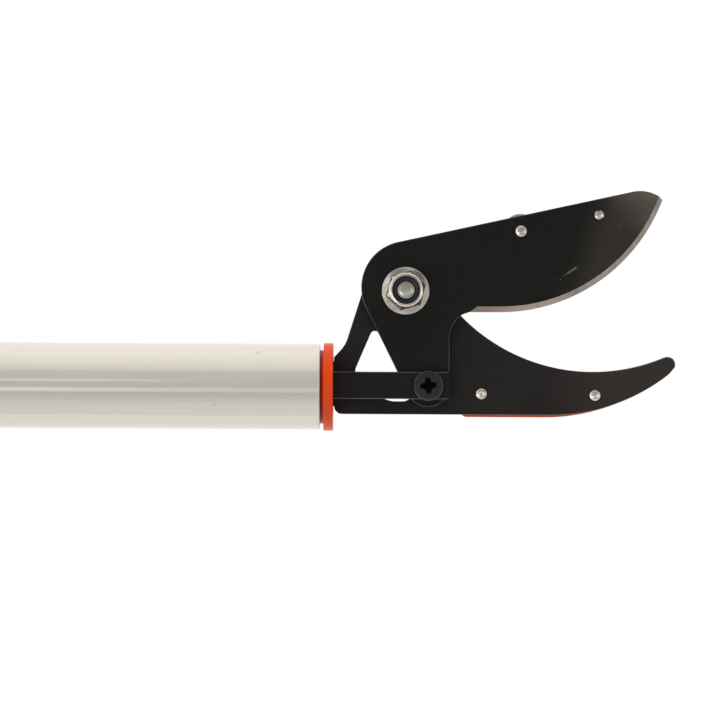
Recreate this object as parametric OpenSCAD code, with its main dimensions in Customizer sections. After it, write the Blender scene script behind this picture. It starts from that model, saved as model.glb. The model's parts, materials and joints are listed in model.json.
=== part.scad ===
// Long-reach cut-and-hold pruner: a bypass head on a fixed pole,
// worked through a pull rod by the trigger of a pistol-grip handle.
// The pole lies along X with the head at +X. Z is up, and the jaws open upward.
// The origin is the centre of the butt cap's flat face, on the pole's axis.
// Sizes of the head are given from the plug's front face and the pole's axis.

/* [Pole] */
// Outside diameter of the pole tube
tube_od = 25; // [24:0.5:30]
// Wall of the pole tube
tube_wall = 1.8; // [1.2:0.1:2]
// Length of the pole tube
tube_len = 1000; // [500:10:2000]
// Gap between the tube's end and the plug's flange
neck_gap = 1.3; // [0.5:0.1:4]
// Thickness of the plug's flange
flange_t = 2.7; // [2:0.1:6]
// How far the flange stands proud of the tube all round
flange_lip = 0.2; // [0:0.1:2]
// Length of the plug inside the tube
plug_len = 32; // [26:1:60]

/* [Plates] */
// Thickness of the hook plate
hook_t = 3; // [2:0.1:4]
// Thickness of the cutting blade
blade_t = 3; // [2:0.1:4]
// Depth of the ground step on the blade's face
grind_t = 0.2; // [0.1:0.05:0.5]
// Width of the sharpened bevel
bevel_w = 1.6; // [0.8:0.1:3]
// Thickness of the pull strip
strip_t = 2.5; // [1.5:0.1:3]
// Width of the pull strip
strip_w = 7.8; // [6:0.1:9]

/* [Pivot and drive] */
// Pivot's distance from the plug's face
pivot_x = 20.8; // [18:0.1:26]
// Pivot's height above the pole's axis
pivot_z = 27.9; // [25:0.1:32]
// Drive screw's distance from the plug's face
drive_x = 27.4; // [25:0.1:30]
// Drive screw's height above the pole's axis
drive_z = 0.6; // [-1:0.1:2]
// Radius of the pivot bolt
pivot_r = 3; // [2.5:0.1:4]
// Radius of the drive screw's shoulder
shoulder_r = 3; // [2.5:0.1:3.4]
// Radius of the drive screw's thread
drive_thread_r = 2.3; // [1.8:0.1:2.4]
// Radius of the drive screw's head
drive_head_r = 4.4; // [4:0.1:5.5]

/* [Cutting blade] */
// Radius of the blade's boss
boss_r = 13.4; // [12:0.1:16]
// Radius of the arm's end around the drive screw
arm_r = 6.2; // [5.5:0.1:7]
// Distance from the pivot to the centre of the blade's nose, along the pole
nose_x = 67.6; // [60:0.5:90]
// Height of the nose's centre above the pivot
nose_z = 18.7; // [15:0.5:24]
// Radius of the blade's nose
nose_r = 10.5; // [8:0.5:12]
// Radius of the cutting edge
edge_r = 50.2; // [46:0.2:60]
// Distance from the pivot to the edge's lowest point, along the pole
edge_x = 27.3; // [24:0.5:32]
// Depth of the edge's lowest point below the pivot
edge_drop = 6; // [4:0.2:8]
// Distance from the pivot to the heel of the sharpened edge
heel_x = 18.6; // [17.5:0.1:22]

/* [Hook] */
// Radius of the hook plate around the pivot
hook_boss_r = 11.8; // [10:0.1:13]
// Reach of the hook from the plug's face
hook_reach = 99.2; // [92:0.5:120]
// Depth of the hook's straight back below the pole's axis
hook_back = 7.85; // [7:0.05:10]
// Radius of the hook's outer curve
hook_out_r = 55; // [50:0.5:70]
// Where the hook's outer curve begins
hook_out_x = 63.1; // [56:0.5:70]
// Radius of the hook's inner curve
hook_in_r = 53.5; // [48:0.5:60]
// Where the hook's inner curve is lowest
hook_in_x = 75.2; // [70:0.5:85]
// Height of that lowest point above the pole's axis
hook_floor = 4.75; // [3:0.05:6]
// Radius of the hook's tip
tip_r = 2.2; // [1.5:0.1:3]

/* [Holding pieces] */
// Thickness of the orange pad behind the hook
pad_t = 3.5; // [2.5:0.1:5]
// How far the pad stands out below the hook
pad_lip = 0.55; // [0.2:0.05:1.5]
// Thickness of the holding plate behind the blade
holder_t = 2; // [1:0.1:3]
// Radius of the discs between blade and holding plate
spacer_r = 5.25; // [4:0.05:6]
// Radius of the rivets' flush heads
rivet_r = 1.85; // [1.7:0.05:2.4]

/* [Pull rod] */
// Diameter of the pull rod
rod_d = 5; // [4:0.5:6]
// Outside radius of the return spring
spring_r = 7; // [6:0.25:7.5]
// Wire diameter of the return spring
spring_wire = 1.6; // [1.2:0.1:2]
// Turns of the return spring
spring_turns = 12; // [8:1:16]
// Length of the return spring when the jaws are open
spring_len = 60; // [50:1:100]

/* [Handle] */
// Length of the handle's barrel
handle_len = 187; // [175:1:240]
// Wall of the handle's shells
shell_wall = 2.6; // [2:0.1:3]
// Thickness of plastic around the tube
barrel_wall = 4.5; // [4:0.1:7]
// Where the pole tube starts inside the barrel
tube_start = 116; // [114:1:127]
// Trigger pivot's distance from the butt
trigger_x = 82; // [80:0.5:84]
// Distance from the trigger's pivot down to the rod
trigger_arm = 24.06; // [22:0.02:26]
// Trigger's swing from open to closed, in degrees
trigger_swing = 41; // [38:0.5:42]
// Thickness of the trigger's lever
lever_t = 10; // [9:0.5:12]
// Width of the trigger's finger bow
bow_w = 20; // [14:0.5:24]
// Width of the housing over the trigger's pivot
hump_w = 26; // [24:0.5:30]
// Length of the pistol grip below the pole's axis
grip_len = 114; // [100:1:130]
// Depth of the pistol grip, along the pole
grip_depth = 32; // [28:0.5:34]
// Thickness of the pistol grip, across the pole
grip_w = 30; // [26:0.5:33]
// Radius of the hanging hole
hang_r = 4; // [3:0.5:5]
// Thickness of the cap on the barrel's butt end
cap_t = 4; // [3:0.5:8]

/* [Hidden] */
$fn = 64;

// Clearances
plate_gap = 0.1;
free_gap = 0.3;
run_fit = 0.06;
seat_fit = 0.05;
cut = 1;

// Pole
tube_r = tube_od / 2;
bore_r = tube_r - tube_wall;
tube_end = tube_start + tube_len;
head_x = tube_end + neck_gap + flange_t;
plug_end = tube_end - plug_len;
tang_len = head_x - plug_end - 4;
tang_top = 7.4;
tang_bottom = -5.5;
tang_screw_r = 1.8;
tang_screw_at = [head_x - 12, head_x - 26];

// Layers of the head, from the hook's front face at y = 0
blade_back = -plate_gap;
blade_front = blade_back - blade_t;
ground_front = blade_front + grind_t;
strip_back = blade_front - plate_gap;
strip_front = strip_back - strip_t;
pad_back = hook_t + pad_t;
holder_front = hook_t + free_gap;
holder_back = holder_front + holder_t;

// Blade, in the plane of the plates
pivot = [head_x + pivot_x, pivot_z];
drive = [head_x + drive_x, drive_z];
boss = pivot + [0.6, 1];
nose = pivot + [nose_x, nose_z];
edge_c = pivot + [edge_x, edge_r - edge_drop];
heel = [pivot[0] + heel_x, pivot[1] - edge_drop];
crotch = heel + [-2, -0.7];
crotch_r = 8;
blade_rivets_at = [pivot + [33.3, 17.4], pivot + [55.8, 22.2]];
closing = 35;
rivet_shank_r = rivet_r - 0.35;
rivet_head_t = 0.8;

// Hook, in the same plane
hook_out_c = [head_x + hook_out_x, hook_out_r - hook_back];
hook_in_c = [head_x + hook_in_x, hook_in_r + hook_floor];
tip_x = head_x + hook_reach - tip_r;
tip_a = -acos((tip_x - hook_in_c[0]) / (hook_in_r + tip_r));
tip_c = hook_in_c + (hook_in_r + tip_r) * [cos(tip_a), sin(tip_a)];
hook_rivets_at = [[head_x + 43, -1.8], [head_x + 76, -2.1]];
frame_lean = 17.5;
frame_bend = 12.2;
window_floor = 3.75 - hook_back;

// Nut and bolt of the pivot
nut_flat = 10 * pivot_r / 3;
nut_flange_r = 7 * pivot_r / 3;
nut_h = 8;
nut_collar = 2;
washer_t = 1.2;
bolt_head_h = 4 * pivot_r / 3;
insert_r = nut_flat / 2 - 1.1;

// Travel of the rod, from the blade's arm
arm_v = drive - pivot;
arm_len = norm(arm_v);
arm_a = atan2(arm_v[0], -arm_v[1]);
travel = arm_len * (sin(arm_a) - sin(arm_a - closing));
strip_rise = max(arm_len * (cos(arm_a) - cos(arm_a - closing)), 0);
strip_drop = arm_len * (1 - cos(arm_a));

// Rod
rod_r = rod_d / 2;
yoke_pin_r = 2;
yoke_x = plug_end - 9;
yoke_tail = yoke_x - 26;
strip_tail = yoke_x - 5.5;
socket_depth = 14;
tongue_back = 0.4;
rod_eye_x = trigger_x + trigger_arm * sin(trigger_swing / 2);
rod_start = rod_eye_x + 12;
eye_end = rod_eye_x + 22;
socket_wall = 2.5;
seat_len = 10;
spring_x = tube_start + 4 + seat_len;
collar_x = spring_x + spring_len;
collar_len = 8;
guide_len = 12;
guide_at = [for (i = [1:3]) collar_x + (yoke_tail - travel - collar_x) * i / 3.4];

// Handle
barrel_r = tube_r + barrel_wall;
cavity_r = barrel_r - shell_wall;
stop_len = 3;
trigger_z = trigger_arm;
hub_r = 8;
link_r = 2.5;
fork_wall = 2.6;
lever_w = 6.4;
bow_r = 48;
bow_t = 10;
bow_a = 38;
bow_c = [bow_r + bow_t - lever_w + 0.4, -84];
trigger_pin_r = 3;
hump_top = trigger_z + hub_r + 1.4 + shell_wall;
hump_back = 6;
hump_root = 4;
hump_tail = 48;
grip_top_x = 34;
grip_foot_x = 18;
grip_lean = atan2(grip_top_x - grip_foot_x, grip_len);
slot_x0 = trigger_x - 24;
slot_x1 = tube_start - stop_len;
hang = [grip_foot_x + 1.5, 12 - grip_len];
chin_w = 15;
chin_z = barrel_r + 10;
post_r = 4;
screw_r = 1.5;
screw_head_r = 2.9;
screw_head_h = 2.2;
screw_sink = 5;
screw_point = 4;
// Screws of the shells: place along the pole, height, half width of the handle there
shell_screw_at = [[grip_foot_x + 5, 38 - grip_len, grip_w / 2],
                  [cap_t + 12, 6, barrel_r - 2],
                  [trigger_x - 36, hump_top - 8, hump_w / 2],
                  [tube_start + 5, tube_r + 8, hump_w / 2],
                  [tube_start + 38, -tube_r - 6.5, chin_w / 2]];

// Points of an arc around c
function arc(c, r, a0, a1, n = 16) =
    [for (i = [0:n]) c + r * [cos(a0 + (a1 - a0) * i / n), sin(a0 + (a1 - a0) * i / n)]];

function unit(v) = v / norm(v);

function wrap(a) = a - 360 * floor((a + 180) / 360);

// One corner of an outline, rounded with the radius in p[2]
function corner(before, p, after) =
    let (u = unit([before[0] - p[0], before[1] - p[1]]), v = unit([after[0] - p[0], after[1] - p[1]]))
    let (half = acos(u * v) / 2, c = [p[0], p[1]] + unit(u + v) * p[2] / sin(half))
    let (a = [p[0], p[1]] + u * p[2] / tan(half) - c, b = [p[0], p[1]] + v * p[2] / tan(half) - c)
    let (a0 = atan2(a[1], a[0]), turn = wrap(atan2(b[1], b[0]) - a0))
    p[2] == 0 ? [[p[0], p[1]]] : arc(c, p[2], a0, a0 + turn, 8);

// A closed outline from corners given as [x, z, radius]
function rounded(p) =
    [for (i = [0:len(p) - 1]) each corner(p[(i + len(p) - 1) % len(p)], p[i], p[(i + 1) % len(p)])];

// Direction of the outer normal of the line that touches two circles, side +1 or -1
function touch_a(c0, r0, c1, r1, side) =
    atan2(c1[1] - c0[1], c1[0] - c0[0]) + side * acos((r0 - r1) / norm(c1 - c0));

// The point to the right of c0 where two circles cross
function crossing(c0, r0, c1, r1) =
    let (d = norm(c1 - c0), along = (d * d + r0 * r0 - r1 * r1) / (2 * d))
    let (u = (c1 - c0) / d, across = sqrt(r0 * r0 - along * along))
    c0 + u * along + across * [-u[1], u[0]];

// The point p turned about the pivot by a degrees, positive opens the jaws
function swung(p, a) =
    let (v = p - pivot)
    pivot + [v[0] * cos(a) - v[1] * sin(a), v[0] * sin(a) + v[1] * cos(a)];

// A flat piece drawn in the XZ plane, from y0 with thickness t towards +Y
module plate(y0, t) {
    translate([0, y0 + t, 0])
        rotate([90, 0, 0])
            linear_extrude(t)
                children();
}

// A round bar along Y at p = [x, z]
module bar_y(p, y0, y1, r) {
    translate([p[0], y1, p[1]])
        rotate([90, 0, 0])
            cylinder(h = y1 - y0, r = r);
}

// A round bar along X
module bar_x(x0, x1, r, z = 0) {
    translate([x0, 0, z])
        rotate([0, 90, 0])
            cylinder(h = x1 - x0, r = r);
}

// A round solid about Y at p: its outline is [radius, y] points
module turned_y(p, outline) {
    translate([p[0], 0, p[1]])
        rotate([-90, 0, 0])
            rotate_extrude()
                polygon(outline);
}

// A box between two corners
module block(a, b) {
    translate(a)
        cube(b - a);
}

module pole_tube() {
    color("gainsboro")
        difference() {
            bar_x(tube_start, tube_end, tube_r);
            bar_x(tube_start - cut, tube_end + cut, bore_r);
            for (x = tang_screw_at)
                bar_y([x, 0], 0, tube_r + cut, tang_screw_r + free_gap);
        }
}

// Orange plug: flange outside the tube, slots for the tang and the pull strip
module end_plug() {
    color("orangered")
        difference() {
            union() {
                bar_x(plug_end, head_x - flange_t, bore_r - seat_fit);
                bar_x(head_x - flange_t, head_x, tube_r + flange_lip);
            }
            block([plug_end - cut, -seat_fit, tang_bottom - seat_fit],
                  [head_x + cut, hook_t + seat_fit, tang_top + seat_fit]);
            block([plug_end - cut, strip_front - free_gap, drive_z - strip_w / 2 - strip_drop - free_gap],
                  [head_x + cut, strip_back + free_gap, drive_z + strip_w / 2 + strip_rise + free_gap]);
            for (x = tang_screw_at)
                bar_y([x, 0], hook_t, tube_r, tang_screw_r + seat_fit);
        }
}

// Screws from behind, through tube and plug into the hook's tang
module tang_screws() {
    color("silver")
        for (x = tang_screw_at)
            turned_y([x, 0], [[0, plate_gap], [tang_screw_r, plate_gap], [tang_screw_r, tube_r],
                              [3.5, tube_r], [3.2, tube_r + 1.2], [2, tube_r + 2], [0, tube_r + 2]]);
}

// Outline of hook, frame and tang
function hook_outline() =
    let (out_end = -acos((tip_x + 0.2 * tip_r - hook_out_c[0]) / hook_out_r))
    let (arm_top = pivot + hook_boss_r * [-cos(frame_lean), sin(frame_lean)])
    let (bend = [arm_top[0] - (arm_top[1] - frame_bend) * tan(frame_lean), frame_bend, 9])
    let (shoulder = [head_x + 0.2, tang_top + 1.2])
    concat([[head_x - tang_len, tang_bottom + 2], [head_x - tang_len + 2, tang_bottom]],
           arc([head_x + 2.6, 2.3 - hook_back], 2.3, 180, 270, 6),
           arc(hook_out_c, hook_out_r, -90, out_end, 24),
           arc(tip_c, tip_r, -25, 180 + tip_a, 8),
           arc(hook_in_c, hook_in_r, tip_a, -137, 36),
           arc(pivot, hook_boss_r, 0, 180 - frame_lean, 20),
           corner(arm_top, bend, shoulder),
           [shoulder, [shoulder[0], tang_top], [head_x - tang_len + 2, tang_top],
            [head_x - tang_len, tang_top - 2]]);

module hook_blade() {
    color([0.13, 0.12, 0.12])
        difference() {
            plate(0, hook_t)
                polygon(hook_outline());
            plate(-cut, hook_t + 2 * cut)
                polygon(rounded([[head_x + 11.8, 17.8, 1.3], [head_x + 5.9, 4, 2.5],
                                 [head_x + 15.2, window_floor, 8], [head_x + 25.6, window_floor, 3]]));
            bar_y(pivot, -cut, hook_t + cut, pivot_r + run_fit);
            for (p = hook_rivets_at)
                flush_hole(p, 0, hook_t);
            for (x = tang_screw_at)
                bar_y([x, 0], -cut, hook_t + cut, tang_screw_r + seat_fit);
        }
}

// Hole for a rivet with a flush head at y0, through t towards +Y
module flush_hole(p, y0, t) {
    turned_y(p, [[0, y0 - cut], [rivet_r + seat_fit, y0 - cut], [rivet_r + seat_fit, y0 + rivet_head_t],
                 [rivet_shank_r + seat_fit, y0 + rivet_head_t], [rivet_shank_r + seat_fit, y0 + t + cut],
                 [0, y0 + t + cut]]);
}

// Rivet: flush head at y0, domed head behind y1
module rivet(p, y0, y1) {
    turned_y(p, [[0, y0], [rivet_r, y0], [rivet_r, y0 + rivet_head_t], [rivet_shank_r, y0 + rivet_head_t],
                 [rivet_shank_r, y1], [3, y1], [2.7, y1 + 0.8], [1.7, y1 + 1.4], [0, y1 + 1.5]]);
}

// Orange pad behind the hook: the cut stem is held against it
module hook_holder() {
    pad_x = head_x + 37.2;
    pad_c = hook_out_c - [pad_lip, 0];
    pad_end = -acos((tip_x - 5 - pad_c[0]) / (hook_out_r + pad_lip));
    pad_in_r = hook_in_r + 0.5;
    lip_a = -acos((tip_x - 6 - hook_in_c[0]) / pad_in_r);
    color("orangered")
        difference() {
            plate(hook_t, pad_t)
                polygon(concat([[pad_x, 8], [pad_x, -hook_back - pad_lip]],
                               arc(pad_c, hook_out_r + pad_lip, -90, pad_end, 24),
                               arc(hook_in_c, pad_in_r, lip_a, -126, 24)));
            for (p = hook_rivets_at)
                bar_y(p, hook_t - cut, pad_back + cut, rivet_shank_r + seat_fit);
        }
}

module hook_rivets() {
    color("silver")
        for (p = hook_rivets_at)
            rivet(p, 0, pad_back);
}

module pivot_bolt() {
    head_y = hook_t + washer_t;
    color("gray")
        union() {
            bar_y(pivot, blade_front - nut_h + 0.4, head_y + cut, pivot_r);
            translate([pivot[0], head_y + bolt_head_h, pivot[1]])
                rotate([90, 0, 0])
                    cylinder(h = bolt_head_h, r = nut_flat / sqrt(3), $fn = 6);
        }
}

module pivot_washer() {
    color("silver")
        difference() {
            bar_y(pivot, hook_t, hook_t + washer_t, nut_flange_r - 0.5);
            bar_y(pivot, hook_t - cut, hook_t + washer_t + cut, pivot_r + run_fit);
        }
}

// Flange lock nut against the blade's face
module pivot_nut() {
    y0 = blade_front - plate_gap;
    color("silver")
        difference() {
            union() {
                turned_y(pivot, [[0, y0], [nut_flange_r, y0], [nut_flange_r, y0 - 0.7],
                                 [nut_flange_r - 0.4, y0 - 1.2], [nut_flat / 2 + 0.4, y0 - 2], [0, y0 - 2]]);
                translate([pivot[0], y0, pivot[1]])
                    rotate([90, 0, 0])
                        rotate([0, 0, 15])
                            cylinder(h = nut_h - nut_collar, r = nut_flat / sqrt(3), $fn = 6);
                turned_y(pivot, [[0, y0], [nut_flat / 2 - 0.2, y0], [nut_flat / 2 - 0.2, y0 - nut_h + 1],
                                 [nut_flat / 2 - 0.9, y0 - nut_h], [0, y0 - nut_h]]);
            }
            bar_y(pivot, y0 - nut_h - cut, y0 + cut, pivot_r + run_fit);
            bar_y(pivot, y0 - nut_h - cut, y0 - nut_h + nut_collar, insert_r + seat_fit);
        }
}

module nut_insert() {
    insert_t = nut_collar - free_gap;
    y0 = blade_front - plate_gap - nut_h + free_gap;
    color("midnightblue")
        difference() {
            bar_y(pivot, y0, y0 + insert_t, insert_r);
            bar_y(pivot, y0 - cut, y0 + insert_t + cut, pivot_r + run_fit);
        }
}

// Outline of the blade with its drive arm
function blade_outline() =
    let (spine_a = touch_a(boss, boss_r, nose, nose_r, 1), arm_side = touch_a(boss, boss_r, drive, arm_r, -1))
    let (tip = crossing(nose, nose_r, edge_c, edge_r))
    let (tip_edge = atan2(tip[1] - edge_c[1], tip[0] - edge_c[0]))
    let (tip_nose = atan2(tip[1] - nose[1], tip[0] - nose[0]))
    let (bay = [drive[0] + arm_r + crotch_r,
                crotch[1] - sqrt(crotch_r * crotch_r - pow(drive[0] + arm_r + crotch_r - crotch[0], 2))])
    let (bay_a = atan2(crotch[1] - bay[1], crotch[0] - bay[0]))
    concat(arc(boss, boss_r, spine_a, arm_side + 360, 24),
           arc(drive, arm_r, arm_side, 0, 20),
           arc(bay, crotch_r, 180, bay_a, 10),
           [heel],
           arc(edge_c, edge_r, -90, tip_edge, 48),
           arc(nose, nose_r, tip_nose, spine_a, 20));

// Blade: the ground step and the bevel are on the front face
module cutting_blade() {
    plunge = [heel[0] - 2.5, heel[1] - 2];
    color([0.1, 0.1, 0.1])
        difference() {
            plate(blade_front, blade_t)
                polygon(blade_outline());
            plate(blade_front - cut, cut + grind_t)
                polygon([plunge, [plunge[0] + 120, plunge[1]], [plunge[0] + 120, nose[1] + 40],
                         [plunge[0] - 2, nose[1] + 40]]);
            bevel_cut();
            bar_y(pivot, blade_front - cut, cut, pivot_r + run_fit);
            bar_y(drive, blade_front - cut, cut, drive_thread_r + seat_fit);
            for (p = blade_rivets_at)
                flush_hole(p, ground_front, blade_t);
        }
}

// What the bevel takes off: a cone along the curved edge, a wedge that runs out along the straight heel
module bevel_cut() {
    slope = bevel_w / (blade_back - ground_front);
    front_r = edge_r - bevel_w - cut * slope;
    back_r = edge_r + cut * slope;
    run_out = bevel_w * [1.35, 1];
    intersection() {
        turned_y(edge_c, [[front_r, ground_front - cut], [edge_r + 10, ground_front - cut],
                          [edge_r + 10, blade_back + cut], [back_r, blade_back + cut]]);
        block([edge_c[0], ground_front - 2 * cut, edge_c[1] - edge_r - 5],
              [edge_c[0] + edge_r + 5, blade_back + 2 * cut, edge_c[1]]);
    }
    intersection() {
        translate([heel[0], 0, edge_c[1]])
            rotate([90, 0, 90])
                linear_extrude(edge_c[0] - heel[0])
                    polygon([[ground_front - cut, -front_r], [ground_front - cut, -edge_r - 3],
                             [blade_back + cut, -edge_r - 3], [blade_back + cut, -back_r]]);
        plate(ground_front - 2 * cut, blade_t + 4 * cut)
            polygon([heel - 3 * run_out, heel + 3 * run_out, [edge_c[0], heel[1] + 3 * bevel_w],
                     [edge_c[0], heel[1] - 3 * bevel_w]]);
    }
}

// Holding plate behind the blade: its lower edge follows the hook when closed
module blade_holder() {
    lip_c = swung(hook_in_c, closing);
    lip_r = hook_in_r - 1;
    spine_a = touch_a(boss, boss_r, nose, nose_r, 1);
    lean = spine_a - 90;
    rear = blade_rivets_at[0] + 9.5 * [-cos(lean), -sin(lean)];
    fore = blade_rivets_at[1] + 7 * [cos(lean), sin(lean)];
    up = 3.5 * [cos(spine_a), sin(spine_a)];
    color("dimgray")
        difference() {
            plate(holder_front, holder_t)
                polygon(concat([fore + up * 0.4, fore - 3 * [cos(lean), sin(lean)] + up * 0.8,
                                rear + 3 * [cos(lean), sin(lean)] + up, rear + up * 0.6],
                               arc(lip_c, lip_r, atan2(rear[1] - 9 - lip_c[1], rear[0] - lip_c[0]),
                                   atan2(fore[1] - 3 - lip_c[1], fore[0] - lip_c[0]), 16)));
            for (p = blade_rivets_at)
                bar_y(p, holder_front - cut, holder_back + cut, rivet_shank_r + seat_fit);
        }
}

// Discs that hold the plate clear of the hook
module rivet_spacers() {
    color("silver")
        for (p = blade_rivets_at)
            difference() {
                bar_y(p, blade_back, holder_front, p == blade_rivets_at[0] ? spacer_r : spacer_r - 1.5);
                bar_y(p, blade_back - cut, holder_front + cut, rivet_shank_r + seat_fit);
            }
}

module blade_rivets() {
    color("silver")
        for (p = blade_rivets_at)
            rivet(p, ground_front, holder_back);
}

// Pull strip from the rod's yoke to the blade's arm
module drive_strip() {
    slot_h = yoke_pin_r + max(strip_rise, strip_drop) + free_gap;
    color([0.12, 0.12, 0.1])
        difference() {
            plate(strip_front, strip_t)
                polygon(rounded([[strip_tail, drive_z - strip_w / 2, 2],
                                 [strip_tail, drive_z + strip_w / 2, 2],
                                 [drive[0] + arm_r, drive_z + strip_w / 2, 0.6],
                                 [drive[0] + arm_r, drive_z - strip_w / 2, 0.6]]));
            bar_y(drive, strip_front - cut, strip_back + cut, shoulder_r + run_fit);
            plate(strip_front - cut, strip_t + 2 * cut)
                polygon(rounded([for (s = [[-1, -1], [-1, 1], [1, 1], [1, -1]])
                                 [yoke_x + s[0] * (yoke_pin_r + free_gap), drive_z + s[1] * slot_h, 1.5]]));
        }
}

// Shoulder screw of the drive, with a cross recess
module drive_screw() {
    seat_y = strip_front - plate_gap;
    head_h = 2.2;
    color([0.2, 0.19, 0.18])
        difference() {
            turned_y(drive, [[0, blade_back - plate_gap], [drive_thread_r, blade_back - plate_gap],
                             [drive_thread_r, blade_front], [shoulder_r, blade_front], [shoulder_r, seat_y],
                             [drive_head_r, seat_y], [drive_head_r, seat_y - head_h + 0.6],
                             [drive_head_r - 0.5, seat_y - head_h], [0, seat_y - head_h]]);
            translate([drive[0], seat_y - head_h, drive[1]])
                rotate([0, -5.5, 0])
                    for (a = [0, 90])
                        rotate([0, a, 0])
                            cube([4.8, 2.6, 1.1], center = true);
        }
}

module pull_rod() {
    color("silver")
        bar_x(rod_start, yoke_tail + socket_depth, rod_r);
}

// Yoke: socket on the rod and a tongue behind the strip
module rod_yoke() {
    tongue_front = strip_back + free_gap;
    color("gray")
        difference() {
            union() {
                bar_x(yoke_tail, yoke_tail + socket_depth + 3, rod_r + socket_wall);
                block([yoke_tail + 10, tongue_front, -4.5], [yoke_x + 5, tongue_back, 5.7]);
            }
            bar_x(yoke_tail - cut, yoke_tail + socket_depth, rod_r + seat_fit);
            bar_y([yoke_x, drive_z], tongue_front - cut, tongue_back + cut, yoke_pin_r + seat_fit);
        }
}

// Pin through the strip's slot and the yoke's tongue, headed at both ends
module yoke_pin() {
    color("silver")
        turned_y([yoke_x, drive_z], [[0, strip_front - free_gap - 0.9], [3.2, strip_front - free_gap - 0.9],
                                     [3.2, strip_front - free_gap], [yoke_pin_r, strip_front - free_gap],
                                     [yoke_pin_r, tongue_back], [2.8, tongue_back], [2.4, tongue_back + 0.8],
                                     [0, tongue_back + 0.8]]);
}

// Ring in the tube that guides the rod
module guide_ring(x, len) {
    difference() {
        bar_x(x, x + len, bore_r - seat_fit);
        bar_x(x - cut, x + len + cut, rod_r + free_gap);
    }
}

module rod_guides() {
    color("ivory")
        for (x = guide_at)
            guide_ring(x, guide_len);
}

module spring_seat() {
    color("ivory")
        guide_ring(spring_x - seat_len, seat_len);
}

// Coil of the return spring: rings of points along a helix, with flat closed ends
module return_spring() {
    rings = 10 * spring_turns;
    sides = 6;
    wire_r = spring_wire / 2;
    mid_r = spring_r - wire_r;
    run = spring_len - 2 * free_gap - spring_wire;
    x0 = spring_x + free_gap + wire_r;
    pts = [for (i = [0:rings], j = [0:sides - 1])
           let (a = 36 * i, b = 360 * j / sides, r = mid_r + wire_r * cos(b))
           [x0 + run * i / rings + wire_r * sin(b), r * cos(a), r * sin(a)]];
    walls = [for (i = [0:rings - 1], j = [0:sides - 1])
             let (p = i * sides + j, q = i * sides + (j + 1) % sides)
             each [[p, q, q + sides], [p, q + sides, p + sides]]];
    ends = [for (j = [1:sides - 2])
            each [[0, j + 1, j], [rings * sides, rings * sides + j, rings * sides + j + 1]]];
    echo(least_gap_between_turns = run / spring_turns - spring_wire);
    color("silver")
        polyhedron(points = pts, faces = concat(walls, ends));
}

module spring_collar() {
    color("gray")
        difference() {
            bar_x(collar_x, collar_x + collar_len, spring_r + 1);
            bar_x(collar_x - cut, collar_x + collar_len + cut, rod_r + seat_fit);
        }
}

// Slotted eye on the rod's handle end: its socket starts clear of the trigger's lever
module rod_eye() {
    lean = trigger_swing / 2;
    lift = trigger_arm * (1 - cos(lean));
    neck = trigger_arm * (tan(lean) - sin(lean)) + lever_w / cos(lean) + (rod_r + socket_wall) * tan(lean);
    half_t = lever_t / 2 - fork_wall - 2 * free_gap;
    color("gray")
        difference() {
            union() {
                plate(-half_t, 2 * half_t)
                    polygon(rounded([[rod_eye_x - 7, -6, 3], [rod_eye_x - 7, lift + 6, 3],
                                     [rod_eye_x + 14, lift + 6, 3], [rod_eye_x + 14, -6, 3]]));
                bar_x(rod_eye_x + neck + 2 * free_gap, eye_end, rod_r + socket_wall);
            }
            plate(-half_t - cut, 2 * half_t + 2 * cut)
                polygon(rounded([for (s = [[-1, 0], [-1, 1], [1, 1], [1, 0]])
                                 [rod_eye_x + s[0] * (link_r + free_gap),
                                  s[1] * lift + (s[1] * 2 - 1) * (link_r + free_gap), 2.4]]));
            bar_x(rod_start - cut, eye_end + cut, rod_r + seat_fit);
        }
}

// The trigger at rest: drawn hanging straight down, then swung forward by half its travel
module trigger() {
    color("orangered")
        translate([trigger_x, 0, trigger_z])
            rotate([0, -trigger_swing / 2, 0])
                difference() {
                    union() {
                        plate(-lever_t / 2, lever_t)
                            polygon(concat(arc([0, 0], hub_r, 0, 180, 24),
                                           [[-lever_w, -30], [bow_c[0] - bow_r - bow_t, bow_c[1]],
                                            [0, bow_c[1]], [lever_w, bow_c[1] + 22], [lever_w, -30]]));
                        plate(-bow_w / 2, bow_w)
                            polygon(concat(arc(bow_c, bow_r, 180 - bow_a, 180 + bow_a, 20),
                                           arc(bow_c, bow_r + bow_t, 180 + bow_a, 180 - bow_a, 20)));
                    }
                    bar_y([0, 0], -lever_t, lever_t, trigger_pin_r + run_fit);
                    bar_y([0, -trigger_arm], -lever_t, lever_t, link_r + seat_fit);
                    block([-20, fork_wall - lever_t / 2, -trigger_arm - 12],
                          [20, lever_t / 2 - fork_wall, -trigger_arm + 12]);
                }
}

module trigger_pin() {
    color("silver")
        bar_y([trigger_x, trigger_z], -hump_w / 2 + shell_wall, hump_w / 2 - shell_wall, trigger_pin_r);
}

module link_pin() {
    a = trigger_swing / 2;
    color("silver")
        bar_y([trigger_x + trigger_arm * sin(a), trigger_z - trigger_arm * cos(a)],
              plate_gap - lever_t / 2, lever_t / 2 - plate_gap, link_r);
}

// Outline of the housing over the trigger's pivot, drawn in by inset
function hump_outline(inset) =
    rounded([[hump_back + inset, hump_root, 0], [hump_back + 22 + inset, hump_top - inset, 24],
             [trigger_x + 18, hump_top - inset, 26], [tube_start + hump_tail - 2 * inset, hump_root, 0]]);

// Pistol grip: a leaning oval bar that starts below its foot, drawn in by inset
module grip(inset) {
    translate([grip_foot_x, 0, -grip_len])
        rotate([0, grip_lean, 0])
            translate([0, 0, -grip_depth / 4])
                linear_extrude(grip_depth / 4 + grip_len / cos(grip_lean))
                    polygon([for (a = [0:10:350])
                             [(grip_depth / 2 - inset) * cos(a), (grip_w / 2 - inset) * sin(a)]]);
}

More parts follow.
